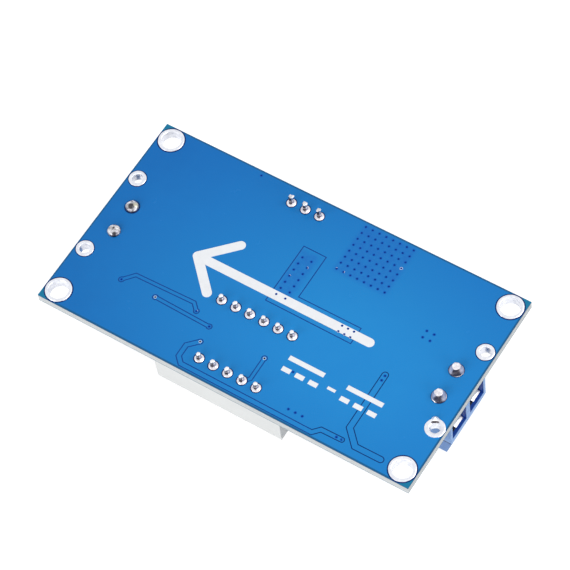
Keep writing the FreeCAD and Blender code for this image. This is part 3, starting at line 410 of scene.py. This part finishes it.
def terminal_plastic():
    """Moulded polyamide, with painted light and shade: painted paler outside than its own blue, deep blue in
    painted shade inside the wire windows, darker sides below the step and a painted shadow line under it.
    """
    shader = Shader("terminal_plastic")
    x, y, z = shader.axes()
    flow = shader.noise(240.0, 4.0, 0.6, stretch=(1.0, 1.0, 2.6))
    # Painted light: the outside paler than the plastic's own blue
    outside = shader.mix(shader.ramp(flow, 0.3, 0.7), srgb(102, 144, 200), srgb(118, 160, 214))
    along = shader.normal_axes()[1]
    side = shader.ramp(shader.math("ABSOLUTE", along), 0.6, 0.7)
    # Painted shade: the sides darker below the step
    lower = shader.math("MULTIPLY", side, shader.ramp(z, -0.0078, -0.008))
    outside = shader.mix(lower, outside, srgb(88, 128, 184))
    # Painted shadow: a dark line under the step on the sides
    step_shadow = shader.ramp(shader.math("ABSOLUTE", shader.math("ADD", z, 0.0079)), 0.00014, 0.0001)
    outside = shader.mix(shader.math("MULTIPLY", side, step_shadow), outside, srgb(24, 40, 84))
    # Painted shade inside the wire windows
    from_middle = shader.math("ABSOLUTE", shader.math("ADD", y, 0.00018))
    pole = shader.math("ABSOLUTE", shader.math("SUBTRACT", from_middle, 0.00254))
    tall = shader.math("ABSOLUTE", shader.math("ADD", z, 0.00495))
    deep = shader.ramp(shader.math("ABSOLUTE", x), 0.03248, 0.03242)
    inside = shader.math("MULTIPLY", shader.ramp(pole, 0.00203, 0.00201), shader.ramp(tall, 0.00218, 0.00216))
    shader.set(Base_Color=shader.mix(shader.math("MULTIPLY", inside, deep), outside, srgb(30, 74, 164)))
    fine = shader.noise(3000.0, 3.0, 0.6)
    shader.set(Roughness=shader.ramp(fine, 0.3, 0.7, 0.34, 0.46))
    shader.set(Normal=shader.bump(fine, 0.00002, 0.3), Specular_IOR_Level=0.4)
    return shader.material


TERMINAL = terminal_plastic()


def copper_wire():
    """Enamelled wire of the winding, with a clear coat."""
    shader = Shader("copper_wire")
    fine = shader.noise(2400.0, 3.0, 0.6)
    shader.set(Base_Color=shader.mix(shader.ramp(fine, 0.3, 0.7), srgb(150, 76, 40), srgb(190, 104, 58)),
               Metallic=1.0)
    shader.set(Roughness=shader.ramp(fine, 0.3, 0.7, 0.22, 0.36), Coat_Weight=0.6)
    shader.set(Normal=shader.bump(fine, 0.00001, 0.3))
    return shader.material


COPPER = copper_wire()
BY_SLOT = {
    "solder_mask": MASK, "solder": TIN, "display_plastic": DISPLAY, "display_lens": LENS, "resin": RESIN,
    "pin_metal": PIN, "trimmer_plastic": TRIMMER, "brass": BRASS, "terminal_plastic": TERMINAL,
    "plated_steel": STEEL, "black_plastic": BLACK_EPOXY_AND_SHADE, "ferrite": FERRITE, "copper_wire": COPPER,
    "can_metal": CAN, "button_plastic": BLACK, "ceramic_dark": CERAMIC_DARK, "ceramic_tan": CERAMIC_TAN,
    "led_resin": LED,
}
for part in frame["record"]["subparts"]:
    piece = nodes[part["node"]]
    piece.data.materials.clear()
    own = TAIL if part["node"] in ("display_pins", "trimmer_pins") else BY_SLOT[part["material_slot"]]
    piece.data.materials.append(own)


# Mesh pieces

class Piece:
    """Collects faces in millimetres and turns them into one object."""

    def __init__(self):
        self.verts = []
        self.faces = []

    def add(self, verts, faces):
        start = len(self.verts)
        self.verts += verts
        self.faces += [[start + index for index in face] for face in faces]

    def build(self, name, material, body="module", replaces=(), smooth=True, angle=0.7):
        mesh = bpy.data.meshes.new(name)
        mesh.from_pydata([[c * MM for c in vert] for vert in self.verts], [], self.faces)
        mesh.materials.append(material)
        shell = bmesh.new()
        shell.from_mesh(mesh)
        bmesh.ops.recalc_face_normals(shell, faces=shell.faces)
        shell.to_mesh(mesh)
        shell.free()
        piece = bpy.data.objects.new(name, mesh)
        scene.collection.objects.link(piece)
        for face in mesh.polygons:
            face.use_smooth = smooth
        if smooth:
            mesh.set_sharp_from_angle(angle=angle)
        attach(piece, body)
        if replaces:
            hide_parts(*replaces)
        return piece


def lathe(profile, count, x, y, wobble=0.0, seed=0, closed=False):
    """Turn radius and height pairs about an upright axis, slightly uneven when asked."""
    verts, faces = [], []
    rings = []
    for radius, height in profile:
        if radius < 1e-6:
            rings.append([len(verts)])
            verts.append((x, y, height))
            continue
        ring = []
        for step in range(count):
            turn = 2 * math.pi * step / count
            east, north = math.cos(turn), math.sin(turn)
            off = wobble * noise.noise(Vector((east * 1.7 + seed * 7.3, north * 1.7, height * 1.3)))
            lift = wobble * noise.noise(Vector((east * 1.1, north * 1.1 + seed * 3.1, radius * 2.0)))
            ring.append(len(verts))
            edge = radius + off * (0.0 if height in (0.0, -THICK) else 1.0)
            level = height + (lift if height > 0.03 or height < -THICK - 0.03 else 0.0)
            verts.append((x + edge * east, y + edge * north, level))
        rings.append(ring)
    pairs = list(zip(rings, rings[1:]))
    if closed:
        pairs.append((rings[-1], rings[0]))
    for low, high in pairs:
        if len(low) == 1 and len(high) == 1:
            continue
        for step in range(count):
            following = (step + 1) % count
            if len(high) == 1:
                faces.append([low[step], low[following], high[0]])
            elif len(low) == 1:
                faces.append([low[0], high[following], high[step]])
            else:
                faces.append([low[step], low[following], high[following], high[step]])
    return verts, faces


def ring_profile(hole, ring, rise, wall=0.12):
    """Section of a plated hole: rounded rims on both faces joined by the barrel."""
    steps = 10
    top = []
    for step in range(steps + 1):
        turn = math.pi * step / steps
        radius = (ring + hole) / 2 + (ring - hole) / 2 * math.cos(turn)
        height = rise * math.sin(turn) ** 0.55 if 0 < step < steps else 0.0
        top.append((radius, max(height, 0.0)))
    bottom = [(radius, -THICK - height) for radius, height in reversed(top)]
    return top + [(hole, -THICK / 2)] + bottom + [(hole + wall, -THICK), (hole + wall, 0.0)]


CORNERS = [(i * HOLE_X, j * HOLE_Y) for i in (-1, 1) for j in (-1, 1)]
WIRES = [(i * WIRE_X, WIRE_ROW + j * WIRE_Y) for i in (-1, 1) for j in (-1, 1)]
rings = Piece()
for seed, (x, y) in enumerate(CORNERS):
    rings.add(*lathe(ring_profile(CORNER_HOLE, CORNER_RING, RIM_RISE), 72, x, y, 0.03, seed, closed=True))
rings.build("corner_rings_tin", RING, replaces=["corner_rings"])
rings = Piece()
for seed, (x, y) in enumerate(WIRES):
    spread = WIDE_WIRE_RING if (x > 0 and y < 0) else WIRE_RING
    rings.add(*lathe(ring_profile(WIRE_HOLE, spread, RIM_RISE), 56, x, y, 0.03, seed + 5, closed=True))
rings.build("wire_pads_tin", RING, replaces=["wire_pads"])


def disc_ring(inner, outer, x, y, level, count):
    """Flat annulus just above the face."""
    verts = []
    for radius in (inner, outer):
        for step in range(count):
            turn = 2 * math.pi * step / count
            verts.append((x + radius * math.cos(turn), y + radius * math.sin(turn), level))
    faces = [[step, (step + 1) % count, count + (step + 1) % count, count + step] for step in range(count)]
    return verts, faces


DISPLAY_PINS = [(-1.5 + (k - 2.5) * GRID, -4.84) for k in range(6)]
DISPLAY_PINS += [(-1.5 + (k - 1.5) * GRID, -15.0) for k in range(5)]
TRIMMER_PINS = [(-5.37 + k * GRID, 15.16) for k in (-1, 0, 1)]
INPUT_PINS = [(29.16, TERMINAL_Y + k * GRID) for k in (-1, 1)]
OUTPUT_PINS = [(-29.16, TERMINAL_Y + k * GRID) for k in (-1, 1)]


def track_outline(points, half, steps):
    """Outline of a copper track: both sides of its centreline, with round ends."""
    loop = []
    for line in (points, points[::-1]):
        turns = [math.atan2(b[1] - a[1], b[0] - a[0]) for a, b in zip(line, line[1:])]
        for (x, y), before, after in zip(line[1:-1], turns, turns[1:]):
            bend = (after - before + math.pi) % (2 * math.pi) - math.pi
            lean = before + bend / 2 + math.pi / 2
            reach = half / math.cos(bend / 2)
            loop.append((x + reach * math.cos(lean), y + reach * math.sin(lean)))
        x, y = line[-1]
        for step in range(steps + 1):
            around = turns[-1] + math.pi / 2 - math.pi * step / steps
            loop.append((x + half * math.cos(around), y + half * math.sin(around)))
    return loop


def track_border(points, inner, outer, level, open_start=False):
    """Flat band along a track, between two distances from its centreline."""
    steps = 10
    loops = [track_outline(points, half, steps) for half in (inner, outer)]
    count = len(loops[0])
    verts = [(x, y, level) for loop in loops for x, y in loop]
    faces = [[k, (k + 1) % count, count + (k + 1) % count, count + k] for k in range(count)]
    if open_start:
        del faces[-1 - steps:-1]
    return verts, faces


# The solid's borders of two tracks, wider or more bent than the real ones, lie under mask
SUPPLY_RUN = [(20.4, -3.6), (20.45, -13.7), (22.75, -16.0)]
SENSE_RUN = [(15.6, -17.18), (15.93, -17.18)]
cover = Piece()
cover.add(*track_border([*SUPPLY_RUN, (27.3, -15.95)], 1.0, 1.6, COVER_LEVEL))
cover.add(*track_border([*SENSE_RUN, (16.86, -16.12), (18.37, -15.89), (20.5, -16.0)],
                        0.28, 0.54, SENSE_COVER_LEVEL, open_start=True))
cover.build("mask_over_track", MASK, smooth=False)

# Dark moats along tracks and round pads, partly painted shade
moats = Piece()
moats.add(*track_border([*SUPPLY_RUN, (27.1, -15.95)], 0.44, 0.58, MOAT_LEVEL))
moats.add(*track_border([*SENSE_RUN, (16.95, -16.1), (20.5, -16.02)], 0.33, 0.47, MOAT_LEVEL,
                        open_start=True))
for places, inner, outer, count in ((CORNERS, 2.08, 2.3, 72), (WIRES, 1.38, 1.55, 56),
                                    (DISPLAY_PINS + TRIMMER_PINS, 0.72, 0.91, 40),
                                    (INPUT_PINS + OUTPUT_PINS[1:], 1.08, 1.25, 48)):
    for x, y in places:
        moats.add(*disc_ring(inner, outer, x, y, MOAT_LEVEL, count))
moats.build("mask_openings_and_shade", MOAT_AND_SHADE)


def joint_profile(pad, foot, tip, height, crown, bend, rise):
    """Section of a wetted joint: a low foot on the pad, a hollow fillet up the pin and a low crown."""
    line = [(pad, 0.0), (pad - 0.04, 0.05)]
    for step in range(1, 11):
        share = step / 10
        line.append((tip + (pad - 0.04 - tip) * (1 - share) ** bend,
                     0.05 + foot + (height - foot - 0.05) * share ** rise))
    line += [(tip * 0.82, height + crown * 0.6), (tip * 0.5, height + crown), (0.0, height + crown)]
    return line


chance = random.Random(11)


def solder_joints(name, node, places, seed, pad, foot, tip, height, crown, bend, rise, wobble, tin):
    """Dress a row of joints, each of its own height."""
    piece = Piece()
    for count, (x, y) in enumerate(places):
        profile = joint_profile(pad, foot, tip, height + chance.uniform(-0.05, 0.05), crown, bend, rise)
        piece.add(*lathe(profile, 44, x, y, wobble, seed + count))
    piece.build(name, tin, replaces=[node])


def blob(x, y, low, high, long, short, turn, count=16):
    """Rounded slab of solder on a cropped pin end."""
    verts = []
    rise = high - low
    for level, share in ((low, 0.62), (low + rise * 0.3, 1.0), (low + rise * 0.75, 0.96), (high, 0.6)):
        for step in range(count):
            around = 2 * math.pi * step / count
            u, v = share * long * math.cos(around), share * short * math.sin(around)
            verts.append((x + u * math.cos(turn) - v * math.sin(turn),
                          y + u * math.sin(turn) + v * math.cos(turn), level))
    faces = [list(range(count)), list(range(3 * count, 4 * count))]
    for base in range(3):
        for step in range(count):
            after = (step + 1) % count
            faces.append([base * count + step, base * count + after, base * count + count + after,
                          base * count + count + step])
    return verts, faces


tips = Piece()
for x, y in DISPLAY_PINS:
    long = 0.37 + chance.uniform(-0.03, 0.04)
    turn = 1.0 + chance.uniform(-0.25, 0.25)
    tips.add(*blob(x, y, 1.16, 1.43, long, 0.3, turn))
for (x, y), (aside, ahead) in zip(TRIMMER_PINS, ((0.2, 0.04), (0.18, -0.1), (0.0, 0.0))):
    tips.add(*blob(x + aside, y + ahead, 1.76, 1.94, 0.41, 0.25, 1.0))
tips.build("pin_tips", LEAF)
# The spike of solder on the pad nearest the camera, and a dark blob at its foot: painted shadow in the fold
# there
PAD_X, PAD_Y = 31.35, -7.55
peak = Piece()
peak.add(*lathe([(0.6, 0.06), (0.4, 0.3), (0.2, 0.62), (0.0, 0.96)], 20, PAD_X - 0.66, PAD_Y + 1.17, 0.03, 3))
peak.build("solder_peak", LEAF)
hollow = Piece()
hollow.add(*blob(PAD_X - 0.42, PAD_Y + 0.76, 0.1, 0.4, 0.6, 0.14, 0.514))
hollow.build("solder_hollow_shade", HOLLOW_SHADE)


def leaf_tongue(name, side, count):
    """Clamp leaf that rounds down at its front, with a notch on one side of its window, and dark slabs
    painted as shade in the notch and the gap beside it.
    """
    way = -1 if count == 1 else 1
    middle = TERMINAL_Y - way * GRID * side
    rows = [(27.25, -6.75), (30.6, -6.75), (31.1, -6.77), (31.5, -6.83), (31.8, -6.93), (31.96, -7.06),
            (31.94, -7.1), (31.6, -7.1), (30.6, -7.1), (27.25, -7.1)]
    piece = Piece()
    for start, skew in ((-0.5, 0.32), (1.85, 0.0)):
        piece.verts += [(side * x, middle + side * (start + (skew if x > 31.4 else 0.0)), z) for x, z in rows]
    size = len(rows)
    piece.faces = [[k, (k + 1) % size, size + (k + 1) % size, size + k] for k in range(size)]
    piece.faces += [list(range(size)), list(range(2 * size - 1, size - 1, -1))]
    leaf = f"{name}_terminal_leaf_{count}"
    piece.build(leaf + "_tongue", LEAF, body=leaf, replaces=[leaf])
    # A dark slab beside the leaf: painted shade in the notch
    corners = ((27.25, -1.4), (31.9, -1.4), (31.9, -0.2), (31.4, -0.52), (27.25, -0.52))
    walls = [[k, (k + 1) % 5, 5 + (k + 1) % 5, 5 + k] for k in range(5)]
    notch_shade = Piece()
    notch_shade.add([(side * x, middle + side * y, level) for level in (-6.9, -7.1) for x, y in corners],
             [[0, 1, 2, 3, 4], [9, 8, 7, 6, 5], *walls])
    notch_shade.build(leaf + "_notch_shade", BLACK_EPOXY_AND_SHADE, body=leaf, smooth=False)
    # A dark sheet on the window floor: painted shadow in the gap
    corners = ((30.6, -1.98), (31.9, -1.98), (31.9, -1.4), (30.6, -1.4))
    gap_shade = Piece()
    gap_shade.add([(side * x, middle + side * y, -7.092) for x, y in corners], [[0, 1, 2, 3]])
    gap_shade.build(leaf + "_gap_shade", BLACK_EPOXY_AND_SHADE)


for side, name in ((1, "input"), (-1, "output")):
    for count in (1, 2):
        leaf_tongue(name, side, count)

PIN_JOINT = {"pad": 0.77, "foot": 0.03, "tip": 0.31, "height": 0.66, "crown": 0.02, "bend": 2.6, "rise": 1.5,
             "wobble": 0.04, "tin": JOINT}
CONE_JOINT = {"pad": 1.16, "foot": 0.05, "tip": 0.64, "height": 1.2, "crown": 0.03, "bend": 1.0, "rise": 1.0,
              "wobble": 0.09, "tin": CONE}
DOME = [(1.1, 0.0), (1.07, 0.16), (1.0, 0.34), (0.84, 0.5), (0.62, 0.62), (0.4, 0.7), (0.2, 0.73),
        (0.0, 0.74)]
solder_joints("display_joints", "display_solder", DISPLAY_PINS, 20, **PIN_JOINT)
solder_joints("trimmer_joints", "trimmer_solder", TRIMMER_PINS, 40, **PIN_JOINT)
solder_joints("input_joints", "input_terminal_solder", INPUT_PINS, 60, **CONE_JOINT)
domes = Piece()
for seed, (x, y) in enumerate(OUTPUT_PINS):
    domes.add(*lathe(DOME, 44, x, y, 0.09, seed + 80))
domes.build("output_joints", DULL, replaces=["output_terminal_solder"])

VIAS = [(8.68 + (i - 3.5) * 1.22, 12.79 + (j - 3.5) * 1.22) for i in range(8) for j in range(8)]
VIAS += [(x, 0.17 + 1.245 * j) for x in (-1.2, 0.42) for j in range(7)]
VIAS += [(10.4 + 1.05 * i, 0.42 - 1.1 * j) for i in range(3) for j in range(2)]
VIAS += [(21.92 + 1.27 * i, 4.7 + 1.24 * j) for i in range(2) for j in range(2)]
VIAS += [(10.94 + 1.21 * i, -15.61) for i in range(3)]
VIAS += [(7.19, -9.97), (8.2, -9.97), (-14.7, 17.1), (-23.29, -9.36), (-10.17, -8.36), (-7.0, -9.65)]
VIAS += [(19.56, -16.03), (20.44, -16.0), (20.45, -3.73), (20.4, -4.62)]
RINGED_VIAS = [(-17.0, -9.4), (3.24, -10.13), (-6.75, -12.51), (12.95, 13.4)]
# A darker ring round each via: painted shade of the dip in the mask over it
dip_shades = Piece()
plugs = Piece()
for x, y in VIAS:
    dip_shades.add(*disc_ring(0.15, 0.27, x, y, VIA_DIP_SHADE_LEVEL, 20))
    plugs.add(*lathe([(0.19, -0.03), (0.0, -0.05)], 12, x, y))
plugs.build("via_plugs", VIA)
dip_shades.build("via_dip_shades", VIA_DIP_SHADE)
# Place, start and sweep in radians of each arc of bare tin beside a via
BARE_ARCS = [(0.42, 6.395, -0.6, 2.6), (-1.2, 3.905, 0.4, 1.8), (4.41, 8.52, 1.2, 1.4),
             (5.63, 8.52, -0.4, 1.8), (-10.17, -8.36, 0.6, 1.2)]
bare = Piece()
# Black discs down in the open vias: painted shade of the deep holes
hole_shades = Piece()
for x, y in RINGED_VIAS:
    bare.add(*lathe([(0.17, 0.0), (0.19, 0.02), (0.23, 0.02), (0.25, 0.0)], 28, x, y))
    hole_shades.add(*lathe([(0.19, -0.06), (0.0, -0.08)], 12, x, y))
hole_shades.build("via_hole_shades", BLACK_EPOXY_AND_SHADE)
for x, y, start, sweep in BARE_ARCS:
    ring = [(x + r * math.cos(start + sweep * k / 8), y + r * math.sin(start + sweep * k / 8), ARC_LEVEL)
            for r in (0.17, 0.22) for k in range(9)]
    bare.add(ring, [[k, k + 1, k + 10, k + 9] for k in range(8)])
bare.build("bare_via_rings", VIA_RING)


# Printed ink

def round_strip(start, end, half, steps=14):
    """Outline of a bar with round ends."""
    way = math.atan2(end[1] - start[1], end[0] - start[0])
    points = []
    for centre, base in ((end, way - math.pi / 2), (start, way + math.pi / 2)):
        for step in range(steps + 1):
            turn = base + math.pi * step / steps
            points.append((centre[0] + half * math.cos(turn), centre[1] + half * math.sin(turn)))
    return points


def ink(name, outlines, holes=(), low=0.002, high=0.03):
    """Print flat shapes with holes on the solder face."""
    curve = bpy.data.curves.new(name, "CURVE")
    curve.dimensions = "2D"
    curve.fill_mode = "BOTH"
    middle = (low + high) / 2
    curve.extrude = (high - low) / 2 * MM
    for outline in list(outlines) + list(holes):
        spline = curve.splines.new("POLY")
        spline.points.add(len(outline) - 1)
        for point, (x, y) in zip(spline.points, outline):
            point.co = (x * MM, y * MM, 0.0, 1.0)
        spline.use_cyclic_u = True
    flat = bpy.data.objects.new(name + "_curve", curve)
    scene.collection.objects.link(flat)
    bpy.context.view_layer.update()
    mesh = bpy.data.meshes.new_from_object(flat.evaluated_get(bpy.context.evaluated_depsgraph_get()))
    bpy.data.objects.remove(flat)
    mesh.transform(Matrix.Translation((0.0, 0.0, middle * MM)))
    mesh.materials.clear()
    mesh.materials.append(SILK)
    piece = bpy.data.objects.new(name, mesh)
    scene.collection.objects.link(piece)
    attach(piece, "module")
    return piece


def circle(x, y, radius, count=16):
    return [(x + radius * math.cos(2 * math.pi * k / count), y + radius * math.sin(2 * math.pi * k / count))
            for k in range(count)]


APEX = (-15.37, -0.05)
ARROW_HALF = 0.77
SHAFT_HOLES = [(x, y) for x, y in VIAS if abs(y) < 0.75 and -2.0 < x < 13.0]
ink("arrow_shaft", [round_strip(APEX, (15.5, -0.04), ARROW_HALF)],
    holes=[circle(x, y, 0.2) for x, y in SHAFT_HOLES])
ink("arrow_arm_up", [round_strip(APEX, (-10.57, 4.8), ARROW_HALF)], high=0.032)
ink("arrow_arm_down", [round_strip(APEX, (-10.52, -4.88), ARROW_HALF)], high=0.034)


def bar(left, right, low, high):
    return [(left, low), (right, low), (right, high), (left, high)]


symbols = []
for left in (6.4, 16.6):
    symbols.append(bar(left, left + 6.2, -8.55, -7.75))
    for k in range(3):
        symbols.append(bar(left + 2.35 * k, left + 1.5 + 2.35 * k, -10.6, -9.8))
symbols.append(bar(14.05, 15.45, -9.9, -9.4))
ink("direct_current_signs", symbols)


# Camera, floor and light

def camera():
    """Place the camera at the photograph's viewing angle."""
    lens = bpy.data.cameras.new("Camera")
    lens.lens = 173.73
    lens.sensor_width = 36.0
    lens.clip_start = 0.01
    lens.clip_end = 20.0
    eye = bpy.data.objects.new("Camera", lens)
    right = Vector((0.84238776, 0.53278013, -0.08079729))
    down = Vector((0.42462233, -0.74860026, -0.50920873))
    ahead = Vector((-0.33178117, 0.39464286, -0.85684203))
    place = Matrix((right, -down, -ahead)).transposed().to_4x4()
    place.translation = Vector((137.648, -162.623, 357.814)) * MM
    eye.matrix_world = place
    scene.collection.objects.link(eye)
    scene.camera = eye


def seen_directly(tree):
    """Return 1 for rays from the camera or off a mirroring surface, for floor and backdrop only."""
    path = tree.nodes.new("ShaderNodeLightPath")
    seen = tree.nodes.new("ShaderNodeMath")
    seen.operation = "MAXIMUM"
    tree.links.new(path.outputs["Is Camera Ray"], seen.inputs[0])
    tree.links.new(path.outputs["Is Glossy Ray"], seen.inputs[1])
    return seen.outputs[0]


def floor(level, grey, glow_strength, reach=4.0):
    """Lay a wide pale floor that keeps the object's shadow."""
    mesh = bpy.data.meshes.new("floor")
    corners = [(-reach, -reach, level), (reach, -reach, level), (reach, reach, level), (-reach, reach, level)]
    mesh.from_pydata(corners, [], [[0, 1, 2, 3]])
    ground = bpy.data.objects.new("floor", mesh)
    scene.collection.objects.link(ground)
    material = bpy.data.materials.new("pale_floor")
    material.use_nodes = True
    tree = material.node_tree
    surface = tree.nodes["Principled BSDF"]
    surface.inputs["Base Color"].default_value = (grey, grey, grey, 1.0)
    surface.inputs["Roughness"].default_value = 0.9
    surface.inputs["Specular IOR Level"].default_value = 0.1
    glow = tree.nodes.new("ShaderNodeEmission")
    amount = tree.nodes.new("ShaderNodeMath")
    amount.operation = "MULTIPLY"
    tree.links.new(seen_directly(tree), amount.inputs[0])
    amount.inputs[1].default_value = glow_strength
    tree.links.new(amount.outputs[0], glow.inputs["Strength"])
    both = tree.nodes.new("ShaderNodeAddShader")
    tree.links.new(surface.outputs[0], both.inputs[0])
    tree.links.new(glow.outputs[0], both.inputs[1])
    tree.links.new(both.outputs[0], tree.nodes["Material Output"].inputs["Surface"])
    mesh.materials.append(material)


def softbox(name, place, width, height, power):
    """Hang a rectangular light that faces the object."""
    lamp = bpy.data.lights.new(name, "AREA")
    lamp.shape = "RECTANGLE"
    lamp.size = width
    lamp.size_y = height
    lamp.energy = power
    holder = bpy.data.objects.new(name, lamp)
    holder.location = place
    holder.rotation_euler = (-Vector(place)).to_track_quat("-Z", "Y").to_euler()
    scene.collection.objects.link(holder)


def studio(strength):
    """Surround the object with even white light, and show it at full white."""
    world = bpy.data.worlds.new("studio")
    world.use_nodes = True
    tree = world.node_tree
    back = tree.nodes["Background"]
    back.inputs["Color"].default_value = (1.0, 1.0, 1.0, 1.0)
    level = tree.nodes.new("ShaderNodeMath")
    level.operation = "MAXIMUM"
    tree.links.new(seen_directly(tree), level.inputs[0])
    level.inputs[1].default_value = strength
    tree.links.new(level.outputs[0], back.inputs["Strength"])
    scene.world = world


camera()
floor(cad_box[0][2], grey=0.44, glow_strength=0.74)
softbox("key", (0.25, 0.16, 0.34), width=0.22, height=0.22, power=0.62)
softbox("front", (-0.15, -0.75, 0.35), width=0.8, height=0.5, power=5.0)
softbox("fill", (0.8, -0.25, 0.22), width=0.6, height=0.4, power=2.2)
studio(strength=0.62)
scene.view_settings.view_transform = "Standard"
